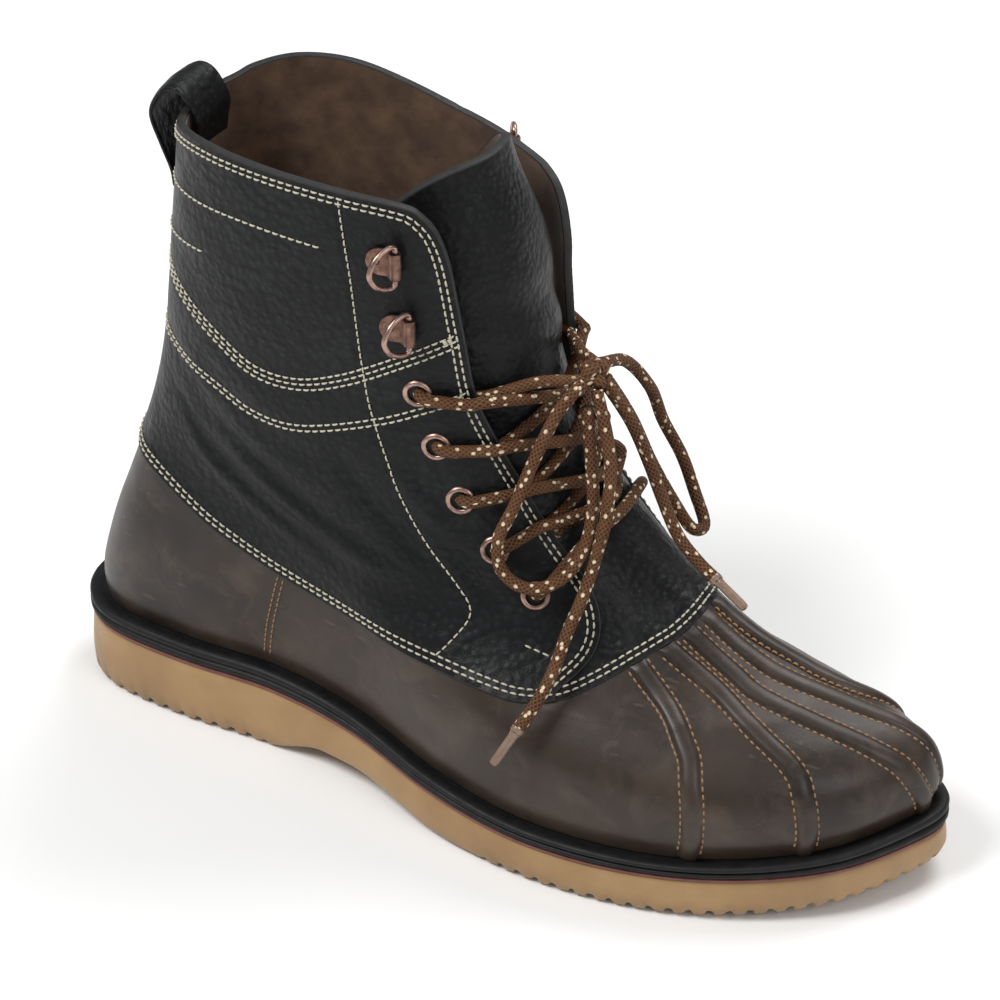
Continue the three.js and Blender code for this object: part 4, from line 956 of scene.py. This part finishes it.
def lower_stitching():
    """Tan rows on both sides of each rib."""
    tan = Solid()
    for places in RIB_LINES:
        top = v_where(places[-1:, 0], SADDLE_SEAM)[0]
        line = places[places[:, 1] < top - 0.004]
        for gap in (-1, 1):
            row = beside(by_length(line, 60), gap * (RIB_WIDE / 2 + 0.75))
            stitch_places(tan, row[1:], -0.25, pitch=2.5, length=2.0, radius=0.4)
    for side in SIDES:
        for gap in (-0.6, 1.6):
            row = beside(side_line(SIDE_SEAM, side, 24), gap)
            stitch_places(tan, row, 0.05, pitch=2.3, length=1.8, radius=0.3)
    return tan.build("tan_stitching", [TAN], "upper_leather", sharp=0)


BRIDGE_TOP = 105.0


def bridge():
    """Thin black leather over the instep, from the saddle seam up under both flaps."""
    rows, cols = 34, 80
    u = np.linspace(FLAP["outer"][0, 0] - 0.012, FLAP["inner"][0, 0] + 0.012, cols + 1)
    low = v_where(u, SADDLE_SEAM)
    high = v_where(u, [(-20, BRIDGE_TOP), (LENGTH, BRIDGE_TOP)])
    w = np.linspace(0, 1, rows + 1)[:, None]
    v = low + w * np.maximum(high - low, 0.004)
    u = np.broadcast_to(u, v.shape)
    p, n = upper(u, v), normal(u, v)
    h = BRIDGE + lower_height(p) * 0.55 * smooth(0.75, 0.0, w)
    solid = Solid()
    sheet(solid, p + n * h[..., None], p - n * 0.4, (0, 1, 2))
    return solid.build("instep_bridge", [SOFT_BLACK, LINING, EDGE_BLACK], "upper_leather")


TONGUE = {"thick": 3.0, "drop": 3.9, "settle": 3.5, "lean": 13.0, "under": 5.5, "corner": 17.0}


def round_at(y, v):
    """The place round the front of the foot where the surface comes to a wanted y."""
    low, high = np.full(np.shape(y), 0.25), np.full(np.shape(y), 0.75)
    for _ in range(40):
        mid = (low + high) / 2
        below = upper(mid, v)[..., 1] < y
        low, high = np.where(below, mid, low), np.where(below, high, mid)
    return (low + high) / 2


def tongue():
    """The padded tongue: under the bridge, between the flaps and past the collar, leaning back."""
    rows, cols = 110, 56
    first, last = 5.9, 11.7
    share = np.linspace(0, 1, rows + 1)
    v = lerp(first, last, share) / LAST_LOOP
    across = np.linspace(-1, 1, cols + 1)
    z = np.minimum(upper(0.5, v)[:, 2], 0.88 * HEIGHT)
    under = TONGUE["under"] * (1 - 0.45 * smooth(0.6, 0.9, share))
    y = np.stack([throat_y("outer", z) - under, throat_y("inner", z) + under], -1)
    ends = round_at(y, v[:, None])
    u = lerp(ends[:, :1], ends[:, 1:], (across[None] + 1) / 2)
    v = np.broadcast_to(v[:, None], u.shape)
    depth = lerp(WALL + GAP + 0.1, TONGUE["drop"], smooth(0.47, 0.58, v))
    depth = depth + TONGUE["settle"] * smooth(0.7, 0.86, v)
    p, n = upper(u, v), normal(u, v)
    soft = 0.7 * np.sin(p[..., 2] * 0.13 + 1.2 * across[None]) * np.exp(-((across[None] / 0.7) ** 2))
    folds = 0.5 * np.sin(p[..., 2] * 0.31 + 2.0 * across[None] + 0.6) * smooth(205, 165, p[..., 2])
    bump = (soft + folds) * smooth(0.04, 0.2, share)[:, None] * smooth(1.0, 0.85, share)[:, None]

    def face(drop, extra):
        q = p - n * (drop - extra)[..., None]
        lean = TONGUE["lean"] * smooth(0.835 * HEIGHT, 1.09 * HEIGHT, q[..., 2])
        q[..., 0] -= lean * (1 + 0.6 * across[None] ** 2)
        corner = TONGUE["corner"] * np.abs(across[None]) ** 3.2 * smooth(0.76, 1.0, share)[:, None]
        q[..., 2] -= corner
        return q

    solid = Solid()
    sheet(solid, face(depth, bump), face(depth + TONGUE["thick"], 0.5 * bump), (0, 1, 2))
    looks = [SOFT_BLACK, LINING, EDGE_BLACK]
    return solid.build("tongue_leather", looks, "tongue_leather", replaces=["tongue"])


# Sole
def over(height, above):
    """The height function of a line a little above another."""
    return lambda x: height(x) + above


def ring_rows(profile, steps=420):
    """Loops round the sole: each row of the profile is an inset and a height function."""
    u = np.linspace(0, 1, steps, endpoint=False)
    rows = []
    for inset, height in profile:
        p = outline(u, inset)
        rows.append(np.stack([p[:, 0], p[:, 1], height(p[:, 0])], -1))
    return np.array(rows)


def cap(solid, loop, up, slot=0):
    """Closes a loop of points round the sole with a ladder of quads across the foot."""
    n = len(loop)
    faces = [[0, 1, n - 1]]
    faces += [[i, i + 1, n - i - 1, n - i] for i in range(1, n // 2 - 1)]
    faces.append([n // 2 - 1, n // 2, n // 2 + 1])
    solid.add(loop, [f if up else f[::-1] for f in faces], slot)


def sole_piece(rows, name, look, slot, node, sharp, capped=True):
    """Closes the loops of one piece of the sole into a solid."""
    solid = Solid()
    solid.add(rows, grid_faces(len(rows), rows.shape[1], True))
    if capped:
        cap(solid, rows[0], False)
        cap(solid, rows[-1], True)
    return solid.build(name, [look], slot, replaces=[node], sharp=sharp)


def outsole():
    """Gum sole with soft edges and a row of small lugs at its foot."""

    def mix(t, lift_by=0.0):
        return lambda x: lerp(ground_z(x), gum_top_z(x), t) + lift_by

    profile = [
        (6.0, mix(0)), (3.6, mix(0, 0.05)), (2.2, mix(0, 0.5)), (1.2, mix(0, 1.5)), (0.6, mix(0, 3.0)),
        (0.35, mix(0.35)), (0.45, mix(0.55)), (0.8, mix(0.78)), (1.0, mix(0.9)), (1.3, mix(0.97)),
        (1.9, mix(1.0)),
    ]
    steps = 900
    rows = ring_rows(profile, steps)
    u = np.linspace(0, 1, steps, endpoint=False)
    along = run(rows[4])
    wave = smooth(0.1, 0.7, np.sin(along * 2 * math.pi / 6.4))
    x = rows[4][:, 0]
    where = np.maximum(smooth(84, 70, x), smooth(160, 178, x))
    notches = ((0, 1.6), (0.3, 1.5), (0.55, 1.2), (0.6, 0.7), (0.3, 0.2))
    for k, (inward, raise_by) in enumerate(notches):
        rows[k][:, 2] += raise_by * wave * where
        rows[k][:, :2] = outline(u, profile[k][0] + inward * wave * where)
    sole_piece(rows, "gum_outsole", GUM, "gum_rubber", "outsole", 50)


def midsole():
    """The thin dark red line between the gum and the welt."""
    section = [(6, 0.15), (1.3, 0.15), (0.85, 0.5), (0.85, 1.2), (1.3, 1.5), (6, 1.5)]
    rows = ring_rows([(inset, over(gum_top_z, above)) for inset, above in section])
    sole_piece(rows, "red_midsole_line", RED, "red_rubber", "midsole", 35)


def welt():
    """Black welt: a lower bead, a groove and an upper lip that the leather stands in."""

    def mix(t, above):
        return lambda x: lerp(gum_top_z(x) + 1.8, feather_z(x) - 0.2, t) + above

    # Inset, share of the height from the base to the top, and how far above that
    section = [
        (9.5, 0, 0), (1.6, 0, 0), (0.7, 0.04, 0.15), (0.2, 0.16, 0), (0.15, 0.3, 0), (0.5, 0.4, 0),
        (1.35, 0.46, 0), (1.4, 0.52, 0), (0.7, 0.57, 0), (0.25, 0.66, 0), (0.2, 0.8, 0),
        (0.6, 0.94, 0), (1.4, 1, 0), (3.2, 1, 0.15), (4.4, 1, -0.35), (5.4, 1, -0.4),
        (9.5, 1, -0.4), (9.5, 0, 0),
    ]
    rows = ring_rows([(inset, mix(t, above)) for inset, t, above in section])
    sole_piece(rows, "black_welt", WELT, "welt_rubber", "welt", 60, capped=False)


def footbed():
    """The insole with a soft crown and a rounded edge."""
    edge = WELT_OVERHANG + WALL + 1.3
    section = [(0.4, -1.0), (0, 1.0), (0.4, 2.4), (1.6, 3.2), (6, 3.0)]
    rows = ring_rows([(edge + inset, over(feather_z, above)) for inset, above in section], 300)
    sole_piece(rows, "footbed", LINING, "sock_lining", "insole", 60)


def backstay():
    """Thin black strip up the back of the heel."""
    us = np.linspace(-0.012, 0.006, 9)
    vs = np.linspace(0.004, float(v_where(np.array([0.0]), SADDLE_SEAM)[0]) + 0.01, 50)
    u, v = np.meshgrid(us, vs)
    outer = lift(u, v, 0.7)
    inner = lift(u, v, -0.1)
    solid = Solid()
    sheet(solid, outer, inner, (0, 0, 0))
    return solid.build("heel_strip", [BLACK], "upper_leather")


# Metal
EYELET_AT = {
    (side, k): place for side in SIDES for k, place in enumerate(locate("xz", EYELETS, side, 0.3), 1)
}


def eyelets():
    profile = [
        (2.95, -WALL - 0.6), (2.95, QUARTER + 0.5), (3.1, QUARTER + 0.85), (3.5, QUARTER + 1.05),
        (4.05, QUARTER + 1.0), (4.5, QUARTER + 0.75), (4.72, QUARTER + 0.35), (4.75, QUARTER + 0.05),
        (3.3, QUARTER + 0.02), (3.25, -WALL - 0.6),
    ]
    for (side, k), (u, v) in EYELET_AT.items():
        solid = Solid()
        height = float(crease_height(upper([u], [v]), side)[0])
        points, faces = turned([(r, h + height) for r, h in profile], upper(u, v), normal(u, v), 40)
        solid.add(points, faces)
        name = f"eyelet_{side}_{k}"
        solid.build(name + "_copper", [COPPER], "eyelet_metal", replaces=[name], sharp=50)


def band(path, up, wide, thick, bend=None):
    """A flat strap along a path: points and faces, with rounded edges and closed ends."""
    t, side, ups = frames(path, up=up)
    a = np.linspace(0, 2 * math.pi, 24, endpoint=False)
    c = np.sign(np.cos(a)) * np.abs(np.cos(a)) ** 0.3 * wide / 2
    s = np.sign(np.sin(a)) * np.abs(np.sin(a)) ** 0.5 * thick / 2
    points = path[:, None] + c[None, :, None] * side[:, None] + s[None, :, None] * ups[:, None]
    if bend is not None:
        points = bend(points)
    n = len(path)
    faces = grid_faces(n, 24, True)
    ends = [[k for k in range(24)][::-1], [(n - 1) * 24 + k for k in range(24)]]
    return points.reshape(-1, 3), faces + ends


RING = {"high": 14.0, "out": 9.5, "wire": 0.9}
CLIP = {"wide": 9.0, "leaf": 9.5, "skin": 0.8, "rivet": 1.35}
RING_HALF = [(0, 0), (0.77, 0), (0.96, 0.07), (1, 0.25), (0.83, 0.59), (0.51, 0.85), (0, 1)]
BAR_ROOM = 0.85 + GAP + CLIP["skin"]


def ring_places():
    """Bar centre, way out of the leather, way up along the bar and way to the heel of each ring."""
    out = {}
    for side in SIDES:
        for k, (u, v) in enumerate(locate("xz", RINGS, side, 0.3), 1):
            n = normal(u, v)
            up = unit(np.array([0, 0, 1.0]) - n * n[2])
            heel = unit(np.cross(n, up))
            heel = -heel if heel[0] > 0 else heel
            out[side, k] = (upper(u, v) + n * (QUARTER + GAP + BAR_ROOM + 0.25), n, up, heel)
    return out


def lace_rings():
    half = np.array(RING_HALF) * (RING["high"] / 2, RING["out"])
    closed = np.vstack([half, half[1:-1][::-1] * (-1, 1)])
    flat = spline(closed, np.linspace(0, len(closed), 96, endpoint=False), True)
    for (side, k), (bar, n, up, heel) in ring_places().items():
        tilt = math.radians(52 if side == "outer" else 48)
        bow = unit(heel * math.cos(tilt) + n * math.sin(tilt))
        path = bar + flat[:, :1] * up + flat[:, 1:] * bow
        ring = Solid().tube(path, RING["wire"], 14, closed=True)
        name = f"{side}_{k}"
        ring.build(f"ring_{name}_copper", [COPPER], "ring_metal", f"ring_{name}", [f"lace_ring_{name}"], 60)
        # Clip: a strap that comes along the leather, wraps the bar and tucks back, with a rivet
        clip = Solid()
        mid = BAR_ROOM - CLIP["skin"] / 2
        turn = np.radians(np.linspace(-90, -330, 22))
        wrap = np.stack([mid * np.cos(turn), mid * np.sin(turn)], -1)
        rows = np.vstack([[(2.4, -mid), (1.2, -mid)], wrap, [(2.3, -0.35)]])
        strap = bar + rows[:, :1] * heel + rows[:, 1:] * n
        faces_up = unit(np.cross(np.gradient(strap, axis=0), up))
        clip.add(*band(strap, faces_up, CLIP["wide"], CLIP["skin"]))
        far = np.linspace(0.8, CLIP["leaf"] - 0.02, 22)
        half_wide = CLIP["wide"] / 2
        round_from = CLIP["leaf"] - half_wide
        past = np.maximum(far - round_from, 0) / half_wide
        across = half_wide * np.sqrt(clamp01(1 - past**2))[:, None] * np.linspace(-1, 1, 13)
        plate = bar + far[:, None, None] * heel + across[..., None] * up
        sheet(clip, plate - n * (BAR_ROOM - CLIP["skin"]), plate - n * BAR_ROOM, (0, 0, 0))
        head = [(0.01, 1.15), (0.7, 1.08), (1.15, 0.8), (CLIP["rivet"], 0.35), (CLIP["rivet"], -0.5)]
        at = bar + heel * (0.68 * CLIP["leaf"]) - n * mid
        clip.add(*turned(head, at, n, 20, closed=False))
        node = f"ring_clip_{name}"
        clip.build(f"clip_{name}_copper", [DARK_COPPER], "clip_metal", replaces=[node], sharp=50)


# Pull loop at the back of the collar, as in the solids: height low, high, where it ends inside
PULL = {"wide": 20.0, "thick": 1.7, "low": 187.0, "high": 221.0, "out": 9.5, "in_low": 200.0}


def pull_loop():
    v = np.linspace(0.5, 0.99, 600)
    back = upper(np.zeros(600), v)

    def at(z):
        return float(np.interp(z, back[:, 2], back[:, 0]))

    low, high, in_low, half = PULL["low"], PULL["high"], PULL["in_low"], PULL["thick"] / 2
    xo = at(low) - QUARTER - GAP
    xi = at(in_low) + WALL + GAP
    mid = [
        (xo - half - GAP, low), (xo - half - 4 * GAP, lerp(low, high, 0.17)),
        (xo - 0.55 * PULL["out"], lerp(low, high, 0.4)), (xo - PULL["out"] + 1, lerp(low, high, 0.68)),
        (xo - PULL["out"] + 3.5, lerp(low, high, 0.88)), (xo - 0.15 * PULL["out"], high),
        (xo + 0.4 * PULL["out"], high - 2 * half), (xi + half + 8 * GAP, lerp(in_low, high, 0.55)),
        (xi + half + 6 * GAP, lerp(in_low, high, 0.28)), (xi + half + 3 * GAP, in_low),
    ]
    line = even_line(mid, 90)
    path = np.stack([line[:, 0], np.full(len(line), THROAT_CENTRE), line[:, 1]], -1)
    normals = unit(np.cross(np.gradient(path, axis=0), [0, 1.0, 0]))

    def round_the_shaft(points):
        points[..., 0] += (points[..., 1] - THROAT_CENTRE) ** 2 / (1.85 * LOOPS[-1][9])
        return points

    solid = Solid().add(*band(path, normals, PULL["wide"], PULL["thick"], round_the_shaft))
    return solid.build("pull_loop_strap", [BLACK], "loop_leather", replaces=["pull_loop"], sharp=60)


# Lace: one cord from the knot through the eyelets down to the bar and back up to the knot
EDGE_Z = [151, 134.5, 119.5, 108, 104.5]
KNOT = {"x": 174.5, "y": 2.5, "z": 154.0, "wide": 6.4, "high": 4.6, "thick": 4.2}


def other(side):
    return "inner" if side == "outer" else "outer"


def front_at(y, z, h):
    u, v = locate("yz", [(y, z)], "front", 0.42, 0.93)[0]
    return lift(u, v, h)


def near_edge(side, row, h, inward):
    """A point beside the flap's edge at the height of a row: inward is away from the flap."""
    z = EDGE_Z[row - 1]
    return front_at(float(throat_y(side, z)) - TURN[side] * inward, z, h)


def through_eyelet(side, row, came_from, goes_to):
    """Points over the eyelet's rim, down its hole and away under the flap."""
    u, v = EYELET_AT[side, row]
    at, n = upper(u, v), normal(u, v)

    def toward(point):
        d = point - at
        return unit(d - n * (d @ n))

    a, b = toward(came_from), toward(goes_to)
    down = [
        (a, 7.0, 3.3), (a, 4.2, 3.9), (a, 1.9, 3.1), (a, 0.3, 0.9), (b, 0.2, -1.9), (b, 2.4, -3.5),
        (b, 6.0, -3.7),
    ]
    return [at + d * far + n * h for d, far, h in down]


def lace_leg(side):
    """From the bar's eyelet of one side up to the knot."""
    out = []
    came_from = front_at(THROAT_CENTRE, 102.5, 3.6)
    for row in range(5, 0, -1):
        out += through_eyelet(side, row, came_from, near_edge(side, row, 0, -2))
        out += [near_edge(side, row, -3.0, -2.0), near_edge(side, row, -1.2, 1.6)]
        if row == 1:
            break
        side = other(side)
        over = side == "outer"
        z = (EDGE_Z[row - 1] + EDGE_Z[row - 2]) / 2
        out += [front_at(THROAT_CENTRE, z, 2.3 if over else -1.3)]
        out += [near_edge(side, row - 1, 2.3, 2.8), near_edge(side, row - 1, 3.4, -1.2)]
        came_from = out[-1]
    turn = TURN[side]
    knot = np.array([KNOT["x"], KNOT["y"], KNOT["z"]])
    out += [(out[-1] + knot) / 2 + (1.5, 0, 0.3)]
    out += [knot + (2.6, turn * 5.0, -1.2), knot + (3.6, turn * 1.0, -1.4)]
    return out


def lace_piece(name, path, radius, node, closed=False):
    solid = Solid().tube(path, radius, 14, closed=closed)
    return solid.build(name, [LACE], "lace_cord", replaces=[node], sharp=0)


def lacing():
    """One cord from the knot down one side of every crossing, over the bar and back up."""
    bar = [front_at(-13, 100.5, 4.2), front_at(THROAT_CENTRE, 102.5, 3.4), front_at(21, 100.5, 4.2)]
    rows = lace_leg("outer")[::-1] + bar + lace_leg("inner")
    path = resample(spline(rows, np.linspace(0, len(rows) - 1, 14 * len(rows))), 900)
    return lace_piece("lacing", path, LACE_R * 0.97, "lace_crossings")


LOOP_OUTER = [
    (177.5, -3.6, 153), (173.5, -13, 146), (170, -22, 133), (167, -29, 120), (164, -34, 109.5),
    (166, -35.5, 99.5), (174, -34, 94.5), (182, -28.5, 96.5), (186, -21.5, 103), (186, -13.5, 114),
    (182.5, -8, 131), (179.5, -4.8, 145.5),
]
LOOP_INNER = [
    (178, 8.2, 153.5), (180, 22, 147), (184, 32, 133), (186, 38, 118), (191.5, 41, 104.5),
    (197, 39, 94), (203.5, 33, 86.5), (202, 26.5, 88.5), (196, 25, 98), (189, 23, 112),
    (184, 18, 130), (180, 8.2, 148.5),
]
END_OUTER = [
    (181, -1, 149.8), (189, -8, 132), (191.5, -15, 116), (190, -20, 101), (189.5, -28.5, 91),
    (188, -34.5, 83), (187.5, -44, 73.5), (186, -51.5, 67), (182, -58.5, 58.5),
]
END_INNER = [
    (181, 4, 150.5), (189, 7, 136), (195, 8, 122), (199, 8, 112), (206, 6, 100), (214, 4, 93.5),
    (222, 2, 89.5),
]
AGLET = {"long": 12.0, "r": 1.5}


def bow():
    """Knot, two loops and two ends of the lace, each end in its tip."""
    middle = np.array([KNOT["x"] + 3.6, KNOT["y"], KNOT["z"] - 1.5])
    t = np.linspace(0, 2 * math.pi, 160, endpoint=False)
    out, up = np.array([0.86, 0, 0.5]), np.array([-0.5, 0, 0.86])
    a = (np.sin(t) + 2 * np.sin(2 * t)) / 3 * (KNOT["wide"] - LACE_R)
    b = (np.cos(t) - 2 * np.cos(2 * t)) / 3 * (KNOT["high"] - 0.6 * LACE_R)
    c = np.sin(3 * t) * (KNOT["thick"] - LACE_R)
    path = middle + a[:, None] * np.array([0, 1.0, 0]) + b[:, None] * up + c[:, None] * out
    knot = lace_piece("bow_knot", path, LACE_R * 0.95, "lace_knot", closed=True)
    for name, rows, node in (
        ("bow_loop_outer", LOOP_OUTER, "lace_loop_outer"),
        ("bow_loop_inner", LOOP_INNER, "lace_loop_inner"),
        ("lace_end_long", END_OUTER, "lace_end_outer"),
        ("lace_end_short", END_INNER, "lace_end_inner"),
    ):
        path = even_line(rows, 150)
        obj = lace_piece(name, path, LACE_R, node)
        pieces = [knot] if name == "bow_loop_outer" else []
        if "end" in name:
            pieces = [aglet(name, path, node)]


def aglet(name, path, node):
    """The long smoky tip on a lace end."""
    d = unit(path[-1] - path[-2])
    start = path[-1] - d * 2.0
    r, long = AGLET["r"], AGLET["long"] + 2.0
    far = np.array([0.1, 0.35, 1.5, 2.4, 3.5, long - 1.5, long - 0.1, long + 0.3])
    radius = np.array([2.15, 2.2, 2.15, 1.7, r, r, 0.85 * r, 0.3])
    solid = Solid().tube(start + d * far[:, None], radius, 18, up=np.array([0.3, 0.2, 1.0]))
    tip = node.replace("lace_end", "aglet")
    return solid.build(name + "_tip", [TIP], "aglet_tip", replaces=[tip], sharp=40)


# Camera and light
PHOTO_FOCAL = 2700.0
PHOTO_SIDE = 1000.0
CAMERA_AT = (583.0, -960.0, 820.0)
FORWARD = (-0.3039, 0.7637, -0.5696)
AIM = (105.0, -2.0, 98.0)
ZOOM = 1.52


def camera():
    data = bpy.data.cameras.new("camera")
    data.sensor_width = 36.0
    data.lens = 36.0 * PHOTO_FOCAL / PHOTO_SIDE * ZOOM
    obj = bpy.data.objects.new("camera", data)
    bpy.context.scene.collection.objects.link(obj)
    place = Vector(CAMERA_AT) * MM
    look = Vector(AIM) * MM - place
    obj.location = place
    obj.rotation_euler = look.to_track_quat("-Z", "Y").to_euler()
    data.clip_start = 0.05
    bpy.context.scene.camera = obj


def lights():
    world = bpy.data.worlds.new("studio")
    world.use_nodes = True
    back = world.node_tree.nodes["Background"]
    back.inputs[0].default_value = (1, 1, 1, 1)
    back.inputs[1].default_value = 0.33
    bpy.context.scene.world = world
    spots = [
        ("key", (-0.45, -0.75, 1.35), 0.7, 18),
        ("fill", (1.2, -0.5, 0.9), 0.8, 5),
        ("top", (0.35, 0.75, 1.3), 0.9, 12),
    ]
    for name, at, size, power in spots:
        data = bpy.data.lights.new(name, "AREA")
        data.shape = "DISK"
        data.size = size
        data.energy = power
        obj = bpy.data.objects.new(name, data)
        obj.location = at
        obj.rotation_euler = (Vector((0.1, 0, 0.08)) - Vector(at)).to_track_quat("-Z", "Y").to_euler()
        bpy.context.scene.collection.objects.link(obj)


def floor():
    mesh = bpy.data.meshes.new("floor")
    s = 6.0
    mesh.from_pydata([(-s, -s, 0), (s, -s, 0), (s, s, 0), (-s, s, 0)], [], [[0, 1, 2, 3]])
    obj = bpy.data.objects.new("floor", mesh)
    bpy.context.scene.collection.objects.link(obj)
    m = Look("pale_floor", (0.92, 0.92, 0.915), 0.8)
    mesh.materials.append(m.material)


camera()
lights()
floor()
bpy.context.scene.view_settings.view_transform = "Standard"

quarters()
lower_leather()
bridge()
tongue()
black_stitching()
lower_stitching()
backstay()
outsole()
midsole()
welt()
footbed()
eyelets()
lace_rings()
pull_loop()
lacing()
bow()
